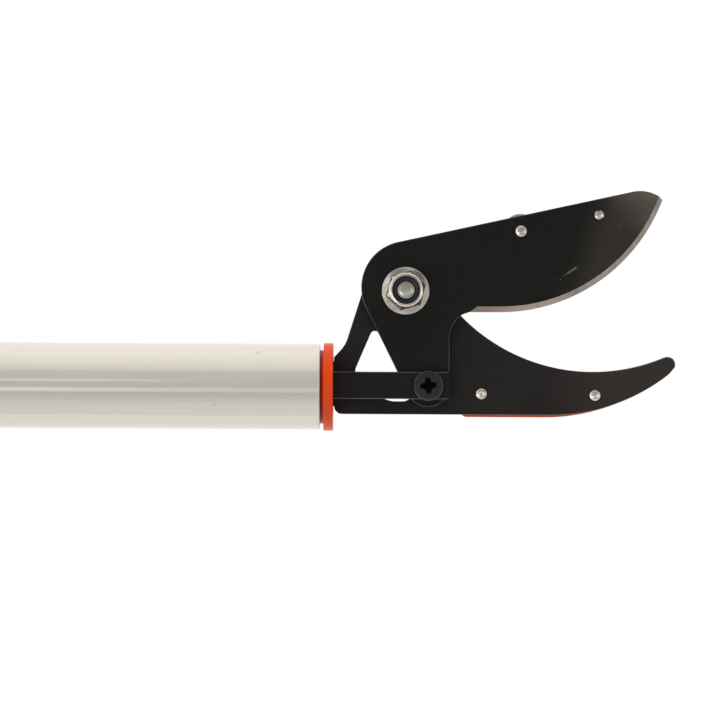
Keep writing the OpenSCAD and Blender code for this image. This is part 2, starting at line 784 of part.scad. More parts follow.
module handle_form() {
    bar_x(cap_t, handle_len, barrel_r);
    plate(-hump_w / 2, hump_w)
        polygon(hump_outline(0));
    intersection() {
        grip(0);
        block([-handle_len, -grip_w, -grip_len], [handle_len, grip_w, 0]);
    }
    plate(-chin_w / 2, chin_w)
        polygon(rounded([[tube_start + 18, 0, 0], [tube_start + 26, -chin_z, 6],
                         [handle_len - 16, -chin_z, 6], [handle_len - 8, 0, 0]]));
}

module handle_hollow() {
    bar_x(cap_t - cut, tube_start - stop_len, cavity_r);
    bar_x(tube_start - stop_len - cut, tube_start + cut, bore_r);
    bar_x(tube_start, handle_len + cut, tube_r + seat_fit);
    intersection() {
        plate(shell_wall - hump_w / 2, hump_w - 2 * shell_wall)
            polygon(hump_outline(shell_wall));
        block([0, -hump_w, 0], [tube_start - stop_len, hump_w, hump_top]);
    }
    intersection() {
        grip(shell_wall);
        block([-handle_len, -grip_w, -grip_len + shell_wall], [handle_len, grip_w, 0]);
    }
    block([slot_x0, -lever_t / 2 - free_gap, -barrel_r - cut], [slot_x1, lever_t / 2 + free_gap, 0]);
}

// Posts for the screws, the trigger's pin and the hanging hole
module handle_posts() {
    for (s = shell_screw_at)
        bar_y([s[0], s[1]], -s[2] + 1, s[2] - 1, post_r);
    for (side = [-1, 1])
        translate([0, side * (hump_w / 4 + lever_t / 4), 0])
            bar_y([trigger_x, trigger_z], -hump_w / 4 + lever_t / 4 + 0.5, hump_w / 4 - lever_t / 4 - 0.5, 6);
    bar_y(hang, -barrel_r, barrel_r, hang_r + 3);
}

module handle_both() {
    difference() {
        intersection() {
            union() {
                difference() {
                    handle_form();
                    handle_hollow();
                }
                handle_posts();
            }
            handle_form();
        }
        bar_y(hang, -2 * barrel_r, 2 * barrel_r, hang_r);
        bar_y([trigger_x, trigger_z], shell_wall - hump_w / 2, hump_w / 2 - shell_wall,
              trigger_pin_r + seat_fit);
        for (s = shell_screw_at) {
            bar_y([s[0], s[1]], screw_point - free_gap - s[2], s[2], screw_r + seat_fit);
            bar_y([s[0], s[1]], s[2] - screw_sink, s[2] + barrel_r, screw_head_r + seat_fit);
        }
    }
}

// One half of the handle: side -1 is the front half, +1 the rear half
module handle_half(side) {
    room = 3 * handle_len;
    intersection() {
        handle_both();
        translate([-room / 2, side > 0 ? seat_fit : -seat_fit - room, -room / 2])
            cube(room);
    }
}

module handle_front_shell() {
    color([0.1, 0.1, 0.1])
        handle_half(-1);
}

module handle_rear_shell() {
    color([0.1, 0.1, 0.1])
        handle_half(1);
}

// Cap that closes the barrel: its flat face is the butt of the whole tool
module butt_cap() {
    spigot_len = 5;
    color([0.1, 0.1, 0.1])
        union() {
            bar_x(0, cap_t, barrel_r);
            bar_x(cap_t, cap_t + spigot_len, cavity_r - seat_fit);
        }
}

// Screw of the shells: point at y0, underside of the head at y1
module shell_screw(p, y0, y1) {
    top = y1 + screw_head_h;
    turned_y(p, [[0, y0], [screw_r, y0], [screw_r, y1], [screw_head_r, y1],
                 [screw_head_r, top - 0.6], [screw_head_r - 0.8, top], [0, top]]);
}

module shell_screws() {
    color("silver")
        for (s = shell_screw_at)
            shell_screw([s[0], s[1]], screw_point - s[2], s[2] - screw_sink);
}

pole_tube();
end_plug();
tang_screws();
hook_blade();
hook_holder();
hook_rivets();
pivot_bolt();
pivot_washer();
pivot_nut();
nut_insert();
cutting_blade();
blade_holder();
rivet_spacers();
blade_rivets();
drive_strip();
drive_screw();
pull_rod();
rod_yoke();
yoke_pin();
rod_guides();
spring_seat();
return_spring();
spring_collar();
rod_eye();
trigger();
trigger_pin();
link_pin();
handle_front_shell();
handle_rear_shell();
shell_screws();
butt_cap();
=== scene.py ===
"""Looks of a long-reach cut-and-hold pruner: a bypass head on a pole with a pistol grip.

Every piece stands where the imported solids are. Lengths are written in millimetres and
turned into metres by MM. The pole lies along X, the jaws open towards +Z, and the blade's
face looks along -Y, towards the camera.
"""
import json
from math import acos, atan2, ceil, copysign, cos, degrees, exp, hypot, pi, radians, sin, sqrt, tan

import bmesh
import bpy
import numpy as np
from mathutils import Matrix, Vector


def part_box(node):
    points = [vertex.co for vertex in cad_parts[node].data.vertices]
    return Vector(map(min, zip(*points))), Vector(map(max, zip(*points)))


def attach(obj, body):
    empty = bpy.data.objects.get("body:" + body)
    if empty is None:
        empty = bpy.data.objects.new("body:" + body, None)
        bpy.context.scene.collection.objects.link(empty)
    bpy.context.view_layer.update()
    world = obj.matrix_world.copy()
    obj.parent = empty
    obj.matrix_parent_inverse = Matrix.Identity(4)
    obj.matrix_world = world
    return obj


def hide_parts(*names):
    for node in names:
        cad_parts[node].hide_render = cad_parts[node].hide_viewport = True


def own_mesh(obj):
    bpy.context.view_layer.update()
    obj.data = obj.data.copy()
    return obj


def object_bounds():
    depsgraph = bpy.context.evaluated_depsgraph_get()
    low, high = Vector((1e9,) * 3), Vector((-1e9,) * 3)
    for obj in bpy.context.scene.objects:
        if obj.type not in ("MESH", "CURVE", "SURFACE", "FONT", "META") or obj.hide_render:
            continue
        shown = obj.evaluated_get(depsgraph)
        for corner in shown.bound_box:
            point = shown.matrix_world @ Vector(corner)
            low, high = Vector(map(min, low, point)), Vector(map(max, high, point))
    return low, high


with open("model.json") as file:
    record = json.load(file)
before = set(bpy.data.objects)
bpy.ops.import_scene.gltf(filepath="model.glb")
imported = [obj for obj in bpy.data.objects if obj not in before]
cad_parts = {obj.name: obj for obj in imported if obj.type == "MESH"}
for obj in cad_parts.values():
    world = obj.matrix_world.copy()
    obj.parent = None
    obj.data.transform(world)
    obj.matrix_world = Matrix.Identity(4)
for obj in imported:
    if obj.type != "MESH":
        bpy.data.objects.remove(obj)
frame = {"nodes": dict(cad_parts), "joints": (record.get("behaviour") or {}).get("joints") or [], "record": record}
cad_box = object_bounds()
scene = bpy.context.scene
MM = 0.001

record = frame["record"]
joints = {j["name"]: j for j in frame["joints"]}
body_of = {n: b for b, members in record["behaviour"]["bodies"].items() for n in members}
slot_of = {s["node"]: s["material_slot"] for s in record["subparts"]}


def span(node):
    """Lowest and highest corner of a node, in millimetres."""
    low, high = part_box(node)
    return low / MM, high / MM


# Places that the frame gives, in millimetres
pivot = Vector(joints["blade_close"]["pos_m"]) / MM
drive = Vector(joints["strip_level"]["pos_m"]) / MM
trigger_axis = Vector(joints["trigger_pull"]["pos_m"]) / MM
head_x = span("end_plug")[1].x
tube_low, tube_high = span("pole_tube")
tube_r = tube_high.z
butt_r = span("butt_cap")[1].z
TUBE_WALL = 1.8

# Flat outlines of blade and hook, as (x, z)
PIVOT = pivot.xz
DRIVE = drive.xz
BOSS = PIVOT + Vector((0.6, 1))
BOSS_R = 13.4
ARM_R = 6.2
NOSE = PIVOT + Vector((67.6, 18.7))
NOSE_R = 10.5
EDGE_R = 50.2
EDGE_MID = PIVOT + Vector((27.3, EDGE_R - 6))
HEEL = PIVOT + Vector((18.6, -6))
CROTCH = HEEL - Vector((2, 0.7))
CROTCH_R = 8
GRIND_T = 0.2
BEVEL_W = 1.6
RUN_OUT = 1.35
FRAME_R = 11.8
OUT_MID = Vector((head_x + 63.1, 47.15))
OUT_R = 55
IN_MID = Vector((head_x + 75.2, 58.25))
IN_R = 53.5
TIP_X = head_x + 97
TIP_R = 2.2
FLOOR_Z = OUT_MID.y - OUT_R
PAD_LIP = 0.75
PAD_EASE = 1.6
YOKE_SLOT = (2.3, 3.45)

# Fasteners: bolt, shoulder and pins of 6 mm, rivets of 3 mm with sunk heads
BOLT_R = 3.0
PIN_HOLE_R = 3.06
RIVET_R = 1.5
RIVET_HOLE_R = 1.55
RIVET_HEAD_R = 1.78
RIVET_SINK_R = 1.82
RIVET_SINK = 0.8
NUT_CORNER = 16
NUT_FLAT = 10
NUT_ROUND = 5.66


# Camera: square to the blade's face, at the height and place of the photograph's centre
VIEW_WIDTH = 208.8
VIEW_CENTRE = Vector((head_x + 7.75, 0, 7.85))
LENS = 110
SENSOR = 36
ROLL = -0.3


def add_camera():
    data = bpy.data.cameras.new("camera")
    data.lens = LENS
    data.sensor_width = SENSOR
    data.clip_start = 0.01
    camera = bpy.data.objects.new("camera", data)
    distance = VIEW_WIDTH * LENS / SENSOR
    camera.location = (VIEW_CENTRE - Vector((0, distance, 0))) * MM
    camera.rotation_euler = (radians(90), radians(ROLL), 0)
    scene.collection.objects.link(camera)
    scene.camera = camera


# Shaders
class Shader:
    """Makes the nodes of a material or of the world."""

    def __init__(self, tree):
        self.tree = tree

    def plug(self, socket, value):
        """Links a socket to a value, or sets it where the value is constant."""
        if isinstance(value, bpy.types.NodeSocket):
            self.tree.links.new(value, socket)
        else:
            socket.default_value = value

    def node(self, kind, inputs=None, **settings):
        made = self.tree.nodes.new("ShaderNode" + kind)
        for key, value in settings.items():
            setattr(made, key, value)
        for key, value in (inputs or {}).items():
            self.plug(made.inputs[key], value)
        return made

    def calc(self, operation, *values):
        return self.node("Math", dict(enumerate(values)), operation=operation).outputs[0]

    def times(self, first, second):
        return self.calc("MULTIPLY", first, second)

    def ramp(self, value, low, high, to_low=0.0, to_high=1.0):
        """Smooth step of value from low to high."""
        inputs = {"Value": value, "From Min": low, "From Max": high, "To Min": to_low, "To Max": to_high}
        return self.node("MapRange", inputs, interpolation_type="SMOOTHSTEP").outputs[0]

    def mix(self, share, first, second):
        return self.node("Mix", {0: share, 6: first, 7: second}, data_type="RGBA").outputs[2]

    def place(self, stretch=(1, 1, 1)):
        """Position on the piece in metres, stretched along an axis where its share is below 1."""
        where = self.node("TexCoord").outputs["Object"]
        return self.node("Mapping", {"Vector": where, "Scale": stretch}).outputs[0]

    def axes(self):
        """X, Y and Z of the position on the piece."""
        return self.node("SeparateXYZ", {0: self.place()}).outputs

    def noise(self, scale, detail=3.0, stretch=(1, 1, 1)):
        inputs = {"Vector": self.place(stretch), "Scale": scale, "Detail": detail, "Roughness": 0.55}
        return self.node("TexNoise", inputs).outputs[0]

    def seen_directly(self):
        """1 for rays from the camera, by reflection or through glass."""
        path = self.node("LightPath").outputs
        seen = self.calc("MAXIMUM", path["Is Camera Ray"], path["Is Glossy Ray"])
        return self.calc("MAXIMUM", seen, path["Is Transmission Ray"])


class Finish(Shader):
    """One material: colour, roughness and grain that vary over the surface."""

    def __init__(self, name, dark, light, metallic=0.0, rough=(0.35, 0.5), patch=45, grain=900,
                 stretch=(1, 1, 1), bump=0.15, depth=0.02):
        self.mat = bpy.data.materials.new(name)
        self.mat.use_nodes = True
        super().__init__(self.mat.node_tree)
        self.bsdf = self.tree.nodes["Principled BSDF"]
        self.bsdf.inputs["Metallic"].default_value = metallic
        patches = self.noise(patch, 4, stretch)
        self.colour = self.mix(self.ramp(patches, 0.3, 0.7), (*dark, 1.0), (*light, 1.0))
        fine = self.noise(grain, 5, stretch)
        self.rough = self.ramp(fine, 0.3, 0.7, *rough)
        inputs = {"Height": fine, "Strength": bump, "Distance": depth * MM}
        self.normal = self.node("Bump", inputs).outputs[0]

    def paint(self, share, colour, rough=None):
        """Lays another colour over the surface where share is 1."""
        self.colour = self.mix(share, self.colour, (*colour, 1.0))
        if rough is not None:
            kept = self.times(self.calc("SUBTRACT", 1.0, share), self.rough)
            self.rough = self.calc("MULTIPLY_ADD", share, rough, kept)

    def stroke(self, start, end, width):
        """1 along a scratch between two points of the blade's face, given as (x, z) in millimetres."""
        at = self.axes()
        line = Vector(end) - Vector(start)
        along = line.normalized()
        x = self.calc("SUBTRACT", at[0], start[0] * MM)
        z = self.calc("SUBTRACT", at[2], start[1] * MM)
        run = self.calc("MULTIPLY_ADD", x, along.x, self.times(z, along.y))
        over = self.calc("MULTIPLY_ADD", x, -along.y, self.times(z, along.x))
        kept = self.calc("MINIMUM", self.calc("MAXIMUM", run, 0.0), line.length * MM)
        beyond = self.calc("SUBTRACT", run, kept)
        squares = self.calc("MULTIPLY_ADD", over, over, self.times(beyond, beyond))
        return self.ramp(self.calc("SQRT", squares), width * MM, 0.3 * width * MM)

    def done(self, **sockets):
        for key, value in (("Base Color", self.colour), ("Roughness", self.rough), ("Normal", self.normal)):
            self.plug(self.bsdf.inputs[key], value)
        for key, value in sockets.items():
            self.bsdf.inputs[key.replace("_", " ")].default_value = value
        return self.mat


# Materials
def tube_finish():
    """Pale lacquered aluminium with faint drawing lines along the pole and a few small marks."""
    f = Finish("tube", (0.735, 0.686, 0.600), (0.795, 0.746, 0.660), 0.36, (0.05, 0.1), 60, 1400,
               (0.03, 1, 1), 0.1, 0.01)
    marks = f.ramp(f.noise(330, 2, (0.6, 1, 1)), 0.745, 0.79, 0.0, 0.6)
    f.paint(marks, (0.46, 0.40, 0.31))
    lines = f.ramp(f.noise(900, 3, (0.015, 1, 1)), 0.62, 0.72, 0.0, 0.35)
    f.paint(lines, (0.62, 0.59, 0.54))
    return f.done()


def orange_finish(name, extra=None):
    f = Finish(name, (0.82, 0.060, 0.003), (0.90, 0.078, 0.005), 0.0, (0.3, 0.42), 70, 1600, bump=0.1)
    if extra:
        extra(f)
    return f.done(Specular_IOR_Level=0.3)


def shaded_neck(f):
    """Slightly deeper orange, with painted shade in the gap between the plug's flange and the tube."""
    at = f.axes()
    neck = f.ramp(at[0], (head_x - 2.7) * MM, (head_x - 3.1) * MM, 0.0, 0.85)
    f.paint(0.4, (0.60, 0.042, 0.003))
    f.paint(neck, (0.24, 0.011, 0.0015))


def coat_finish(name, dark, light, extra=None):
    """Black coated plate: near black with a trace of brown, finely pitted."""
    f = Finish(name, dark, light, 0.0, (0.34, 0.5), 55, 1500, bump=0.12, depth=0.02)
    if extra:
        extra(f)
    return f.done(Specular_IOR_Level=0.24)


# Scratches in the blade's coat: two ends from the pivot, a width and a strength
SCRATCHES = [((47.0, 5.4), (49.1, 6.85), 0.42, 1.0), ((45.7, 4.55), (47.1, 5.5), 0.26, 0.5),
             ((49.3, 6.9), (49.6, 7.5), 0.22, 0.35), ((44.5, 3.4), (44.65, 3.5), 0.32, 0.45),
             ((61.1, 18.2), (62.2, 19.1), 0.26, 0.3), ((51.85, 5.1), (51.9, 5.2), 0.24, 0.2)]


def tip_sheen_and_scratches(f):
    """Painted brownish sheen towards the blade's tip, painted highlight streaks at its nose, and scratches through
    the coat.
    """
    at = f.axes()
    reach = f.calc("MULTIPLY_ADD", at[2], -0.35, at[0])
    reach = f.calc("MULTIPLY_ADD", f.noise(90, 3), 4 * MM, reach)
    start = (pivot.x + 61 - 0.35 * (pivot.z + 25)) * MM
    fade = f.ramp(reach, start - 8 * MM, start + 4 * MM)
    cloud = f.ramp(f.noise(110, 5, (0.5, 1, 1)), 0.25, 0.7, 0.72, 1.0)
    f.paint(f.times(fade, cloud), (0.029, 0.024, 0.0205), 0.42)
    rise = f.calc("MULTIPLY_ADD", at[2], 0.9, at[0])
    top = (NOSE.x + 0.9 * NOSE.y) * MM
    bright = f.ramp(rise, top - 7 * MM, top + 15 * MM)
    streaks = f.ramp(f.noise(420, 4, (0.2, 1, 1)), 0.3, 0.65, 0.7, 1.0)
    f.paint(f.times(bright, streaks), (0.118, 0.098, 0.080), 0.4)
    broken = f.ramp(f.noise(1500, 3), 0.3, 0.6, 0.35, 1.0)
    for start, end, width, strength in SCRATCHES:
        ends = [(pivot.x + p[0], pivot.z + p[1]) for p in (start, end)]
        share = f.times(f.stroke(*ends, width), broken)
        f.paint(f.times(share, strength), (0.16, 0.14, 0.115), 0.4)


def paler_point(f):
    """Lighter towards the hook's point."""
    at = f.axes()
    f.paint(f.ramp(at[0], (head_x + 58) * MM, (head_x + 84) * MM), (0.0295, 0.0233, 0.0192))


def edge_highlight_finish():
    """Painted highlight along an edge, stronger in some stretches than in others."""
    f = Finish("painted_edge_highlight", (0.05, 0.049, 0.045), (0.12, 0.115, 0.105), 0.3, (0.3, 0.42), 110, 1500)
    return f.done()


def ground_finish():
    """Bevel ground across its edge."""
    f = Finish("ground_bevel", (0.16, 0.138, 0.112), (0.275, 0.248, 0.216), 0.8, (0.34, 0.5), 140, 900,
               (1, 0.06, 0.3), 0.25, 0.03)
    at = f.axes()
    # Lighter and greyer towards the heel: a painted reflection on the ground bevel
    heel = f.ramp(at[0], (pivot.x + 62) * MM, (pivot.x + 20) * MM, 0.0, 0.85)
    f.paint(heel, (0.49, 0.48, 0.385))
    return f.done()


def steel_finish(name, dark, light, rough, metallic=1.0, bump=0.2):
    return Finish(name, dark, light, metallic, rough, 160, 1300, bump=bump).done()


def plastic_finish(name, dark, light, rough, bump):
    return Finish(name, dark, light, 0.0, rough, 60, 1100, bump=bump, depth=0.06).done()


# The pad's orange is mixed lighter and yellower: painted sheen on a pad that sits in shade
pad_mat = orange_finish("pad_plastic", lambda f: f.paint(0.4, (0.80, 0.22, 0.075)))
plug_mat = orange_finish("plug_plastic", shaded_neck)
coat_mat = coat_finish("black_steel", (0.0050, 0.0049, 0.0038), (0.0080, 0.0072, 0.0062))
hook_mat = coat_finish("hook_steel", (0.0105, 0.0082, 0.0080), (0.0150, 0.0120, 0.0120), paler_point)
blade_mat = coat_finish("blade_steel", (0.0038, 0.0040, 0.0024), (0.0060, 0.0060, 0.0042), tip_sheen_and_scratches)
# Lighter edge colour: a painted highlight on the plates' rounded edges
edge_highlight_mat = edge_highlight_finish()
bevel_mat = ground_finish()
bright_mat = steel_finish("bright_steel", (0.74, 0.665, 0.575), (0.93, 0.875, 0.80), (0.14, 0.24), 0.85, 0.12)
zinc_mat = steel_finish("zinc", (0.375, 0.336, 0.297), (0.53, 0.487, 0.44), (0.12, 0.24), 0.95, 0.1)
# Brighter copy of the zinc: painted highlight on the nut's rolled collar
collar_highlight_mat = steel_finish("zinc_collar_highlight", (0.66, 0.60, 0.53), (0.84, 0.79, 0.72), (0.1, 0.2), 0.95, 0.08)
# Darker, duller zinc: painted shade in the crevice at the foot of the nut's collar
crevice_shade_mat = steel_finish("zinc_crevice_shade", (0.2, 0.16, 0.12), (0.4, 0.35, 0.3), (0.5, 0.6), 0.6)
screw_mat = Finish("black_screw", (0.0062, 0.0054, 0.0046), (0.0125, 0.0105, 0.009), 0.0, (0.38, 0.52), 220,
                   1900, bump=0.25, depth=0.03).done()
# Near-black and dull: painted shade inside the screw's cross recess
recess_shade_mat = Finish("screw_recess_shade", (0.002, 0.002, 0.0018), (0.004, 0.0036, 0.003), 0.0, (0.75, 0.9), 220,
                    1900).done(Specular_IOR_Level=0.08)

finish_of_slot = {
    "tube": tube_finish(),
    "orange_plastic": orange_finish("orange_plastic"),
    "black_steel": coat_mat,
    "blade_steel": blade_mat,
    "bright_steel": bright_mat,
    "bolt_steel": steel_finish("bolt_steel", (0.60, 0.57, 0.51), (0.74, 0.71, 0.64), (0.24, 0.3), 0.85, 0.03),
    "zinc": zinc_mat,
    "nylon": plastic_finish("nylon", (0.0032, 0.005, 0.0105), (0.006, 0.0095, 0.019), (0.25, 0.4), 0.1),
    "pale_nylon": plastic_finish("pale_nylon", (0.68, 0.66, 0.58), (0.77, 0.75, 0.68), (0.4, 0.55), 0.1),
    "black_screw": screw_mat,
    "black_plastic": plastic_finish("black_plastic", (0.010, 0.010, 0.010), (0.017, 0.017, 0.016),
                                    (0.4, 0.55), 0.3)}


# Geometry helpers
TOWARDS_CAMERA = (0, -1, 0)
AWAY = (0, 1, 0)
ALONG = (1, 0, 0)


def new_object(name, bm):
    mesh = bpy.data.meshes.new(name)
    bm.to_mesh(mesh)
    bm.free()
    obj = bpy.data.objects.new(name, mesh)
    scene.collection.objects.link(obj)
    return obj


def apply_modifiers(obj):
    """Bakes an object's modifiers into its mesh."""
    depsgraph = bpy.context.evaluated_depsgraph_get()
    mesh = bpy.data.meshes.new_from_object(obj.evaluated_get(depsgraph))
    obj.modifiers.clear()
    obj.data = mesh


def dress(obj, node, *finishes, angle=35):
    """Puts a finished mesh in a node's place: same body, the finish of the node's material slot unless others are
    given, flat faces kept flat.
    """
    for finish in finishes or (finish_of_slot[slot_of[node]],):
        obj.data.materials.append(finish)
    for polygon in obj.data.polygons:
        polygon.use_smooth = True
    obj.data.set_sharp_from_angle(angle=radians(angle))
    normals = obj.modifiers.new("normals", "WEIGHTED_NORMAL")
    normals.keep_sharp = True
    normals.weight = 100
    apply_modifiers(obj)
    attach(obj, body_of[node])
    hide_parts(node)
    return obj


def add_piece(node, bm, *finishes, angle=35):
    return dress(new_object(node + "_piece", bm), node, *finishes, angle=angle)


def combine(obj, *tools, operation="DIFFERENCE"):
    """Takes the tools' solids off an object, or keeps only what they share, and deletes them."""
    for tool in tools:
        modifier = obj.modifiers.new("combine", "BOOLEAN")
        modifier.operation = operation
        modifier.solver = "EXACT"
        modifier.object = tool
    apply_modifiers(obj)
    for tool in tools:
        bpy.data.objects.remove(tool)


def welded(mesh):
    """A copy of a mesh with its double points joined."""
    bm = bmesh.new()
    bm.from_mesh(mesh)
    bmesh.ops.remove_doubles(bm, verts=bm.verts, dist=0.001 * MM)
    return bm


def soften(bm, width, segments=2, angle=35, keep=(), material=-1):
    """Rounds the sharp edges that touch no kept point and no face too narrow for the rounding."""
    def narrow(face):
        return face.calc_area() / max(e.calc_length() for e in face.edges) < 2.2 * width * MM

    edges = [e for e in bm.edges if len(e.link_faces) == 2 and e.calc_face_angle() > radians(angle)
             and not any(v in keep for v in e.verts) and not any(narrow(f) for f in e.link_faces)]
    bmesh.ops.bevel(bm, geom=edges, offset=width * MM, segments=segments, profile=0.5, affect="EDGES",
                    clamp_overlap=False, material=material)


def soft_copy(node, width, segments=2, angle=35, finishes=()):
    """A node's own form with its flat faces joined and its edges rounded."""
    bm = welded(frame["nodes"][node].data)
    bmesh.ops.dissolve_limit(bm, angle_limit=radians(0.4), verts=bm.verts, edges=bm.edges)
    soften(bm, width, segments, angle)
    add_piece(node, bm, *finishes)


def turned(outline, centre, axis, sides=96, closed=False, bm=None):
    """A round form: outline is (radius, distance along axis) points from centre, in millimetres."""
    bm = bmesh.new() if bm is None else bm
    axis = Vector(axis)
    first = axis.orthogonal().normalized()
    second = axis.cross(first)
    turns = [2 * pi * i / sides for i in range(sides)]
    ways = [first * cos(a) + second * sin(a) for a in turns]
    rings = []
    for radius, along in outline:
        middle = Vector(centre) + axis * along
        if radius == 0:
            rings.append([bm.verts.new(middle * MM)])
            continue
        rings.append([bm.verts.new((middle + radius * out) * MM) for out in ways])
    join_rings(bm, rings, closed)
    return bm


def join_rings(bm, rings, closed=False):
    """Faces between rings of points: a ring of one point is a tip."""
    pairs = list(zip(rings, rings[1:]))
    if closed:
        pairs.append((rings[-1], rings[0]))
    sides = max(len(r) for r in rings)
    for low, high in pairs:
        for i in range(sides):
            j = (i + 1) % sides
            corners = [low[i % len(low)], low[j % len(low)], high[j % len(high)], high[i % len(high)]]
            bm.faces.new(list(dict.fromkeys(corners)))
    bmesh.ops.recalc_face_normals(bm, faces=bm.faces)


def spun(v, angle):
    c, s = cos(angle), sin(angle)
    return Vector((v.x * c - v.y * s, v.x * s + v.y * c))


def rounded(*corners, steps=4):
    """A flat outline from (x, y, fillet) corners: each fillet becomes an arc."""
    points = []
    for i, (x, y, fillet) in enumerate(corners):
        here = Vector((x, y))
        if not fillet:
            points.append((x, y))
            continue
        back = (Vector(corners[i - 1][:2]) - here).normalized()
        ahead = (Vector(corners[(i + 1) % len(corners)][:2]) - here).normalized()
        half = back.angle(ahead) / 2
        middle = here + (back + ahead).normalized() * fillet / sin(half)
        start = here + back * fillet / tan(half) - middle
        turn = copysign(pi - 2 * half, -back.cross(ahead))
        points += [tuple(middle + spun(start, turn * k / steps)) for k in range(steps + 1)]
    return points


def solids(node):
    """Lowest and highest corner of each separate solid of a node, in millimetres, sorted along X."""
    bm = welded(frame["nodes"][node].data)
    todo = set(bm.verts)
    boxes = []
    while todo:
        group = set()
        ahead = [next(iter(todo))]
        while ahead:
            vert = ahead.pop()
            if vert not in group:
                group.add(vert)
                ahead += [e.other_vert(vert) for e in vert.link_edges]
        todo -= group
        boxes.append([Vector([f(v.co[i] / MM for v in group) for i in range(3)]) for f in (min, max)])
    bm.free()
    return sorted(boxes, key=lambda b: b[0].x)


def middle_of(box):
    return (box[0] + box[1]) / 2


def turned_each(node, outline_of, sides=96, closed=False):
    """Round forms along Y in place of a node's solids: outline_of takes a solid's radius and length."""
    bm = bmesh.new()
    for box in solids(node):
        low, high = box
        middle = middle_of(box)
        outline = outline_of((high.x - low.x) / 2, high.y - low.y)
        turned(outline, (middle.x, low.y, middle.z), AWAY, sides, closed, bm)
    return bm


def bar_tool(start, axis, radius, length, sides=96):
    """A round bar, to cut a bore with."""
    outline = [(0, 0), (radius, 0), (radius, length), (0, length)]
    return new_object("tool", turned(outline, start, axis, sides))


def rod_tool(x, z, radius, y0=-20, y1=20):
    """A round bar along Y."""
    return bar_tool((x, y0, z), AWAY, radius, y1 - y0, 48)


def box_tool(low, high):
    bm = bmesh.new()
    bmesh.ops.create_cube(bm, size=1)
    for vert in bm.verts:
        vert.co = Vector([(low[i] if vert.co[i] < 0 else high[i]) * MM for i in range(3)])
    return new_object("tool", bm)


# Soft moulded forms, as distances to their surfaces in millimetres
def blend(a, b, width):
    """The nearer of two forms, with a fillet of about that width between them."""
    near = np.maximum(width - np.abs(a - b), 0) / width
    return np.minimum(a, b) - near * near * width / 4


def both(a, b, edge):
    """What two forms share, with the edge between them rounded."""
    out = np.hypot(np.maximum(a + edge, 0), np.maximum(b + edge, 0))
    return np.minimum(np.maximum(a, b) + edge, 0) + out - edge


def outline_field(x, z, points):
    """Distance to a closed outline, negative inside."""
    least = np.full(x.shape, 1e9)
    inside = np.zeros(x.shape, bool)
    for (x0, z0), (x1, z1) in zip(points, points[1:] + points[:1]):
        dx, dz = x1 - x0, z1 - z0
        share = np.clip(((x - x0) * dx + (z - z0) * dz) / (dx * dx + dz * dz), 0, 1)
        least = np.minimum(least, np.hypot(x - x0 - share * dx, z - z0 - share * dz))
        if dz:
            inside ^= ((z0 > z) != (z1 > z)) & (x < x0 + dx * (z - z0) / dz)
    return np.where(inside, -least, least)


def slab_field(p, points, half, edge):
    """A flat outline drawn out to both sides of the plane y = 0."""
    return both(outline_field(p[..., 0], p[..., 2], points), np.abs(p[..., 1]) - half, edge)


def bar_field(p, x0, x1, radius, edge):
    """A round bar along X."""
    ends = np.abs(p[..., 0] - (x0 + x1) / 2) - (x1 - x0) / 2
    return both(np.hypot(p[..., 1], p[..., 2]) - radius, ends, edge)


def pin_field(p, x, z, radius):
    """An endless bar along Y."""
    return np.hypot(p[..., 0] - x, p[..., 2] - z) - radius


def drawn_in(points, field, step, rounds=6):
    """Moves points onto the surface, at most about a step."""
    start = points.copy()
    nudge = 0.02
    for _ in range(rounds):
        steps = [field(points + nudge * axis) - field(points - nudge * axis) for axis in np.eye(3)]
        slope = np.stack(steps, -1) / (2 * nudge)
        size = np.maximum((slope * slope).sum(-1), 0.25)
        points = points - (field(points) / size)[:, None] * slope
        points = start + np.clip(points - start, -0.75 * step, 0.75 * step)
    return points


def skin(field, low, high, step):
    """Quads over the surface where field is 0: one point for each cell that the surface crosses."""
    axes = [np.arange(a, b + step, step) for a, b in zip(low, high)]
    inside = field(np.stack(np.meshgrid(*axes, indexing="ij"), -1)) < 0
    counts = [n - 1 for n in inside.shape]
    corners = [inside[i:counts[0] + i, j:counts[1] + j, k:counts[2] + k] for i, j, k in np.ndindex(2, 2, 2)]
    total = sum(c.astype(int) for c in corners)
    crossed = (total > 0) & (total < 8)
    number = np.full(crossed.shape, -1)
    number[crossed] = np.arange(crossed.sum())
    cells = np.argwhere(crossed)
    points = drawn_in(np.array(low) + (cells + 0.5) * step, field, step)
    bm = bmesh.new()
    verts = [bm.verts.new(p * MM) for p in points]
    unit = np.eye(3, dtype=int)
    for axis in range(3):
        side, over = unit[(axis + 1) % 3], unit[(axis + 2) % 3]
        here = np.take(inside, range(counts[axis]), axis)
        ahead = np.take(inside, range(1, counts[axis] + 1), axis)
        for at in np.argwhere(here != ahead):
            ring = [tuple(at), tuple(at - side), tuple(at - side - over), tuple(at - over)]
            if not here[tuple(at)]:
                ring.reverse()
            bm.faces.new([verts[number[c]] for c in ring])
    return bm


# Pole and plug
def add_tube():
    bore = tube_r - TUBE_WALL
    length = tube_high.x - tube_low.x + 0.3
    outline = rounded((bore, 0, 0.3), (tube_r, 0, 0.3), (tube_r, length, 0.35), (bore, length, 0.3))
    add_piece("pole_tube", turned(outline, (tube_low.x, 0, 0), ALONG, 160, closed=True))


# Blade and hook: flat outlines as (x, z), with arcs in fine steps
def way(angle):
    return Vector((cos(radians(angle)), sin(radians(angle))))


def aim(start, end):
    """Angle of the line from one point to another, in degrees."""
    return degrees(atan2(end.y - start.y, end.x - start.x))


def arc(centre, radius, start, end, count=0):
    """Points along an arc, between two angles in degrees."""
    step = max(2.5, degrees(0.5 / radius))
    count = count or max(2, ceil(abs(end - start) / step))
    return [centre + radius * way(start + (end - start) * k / count) for k in range(count + 1)]


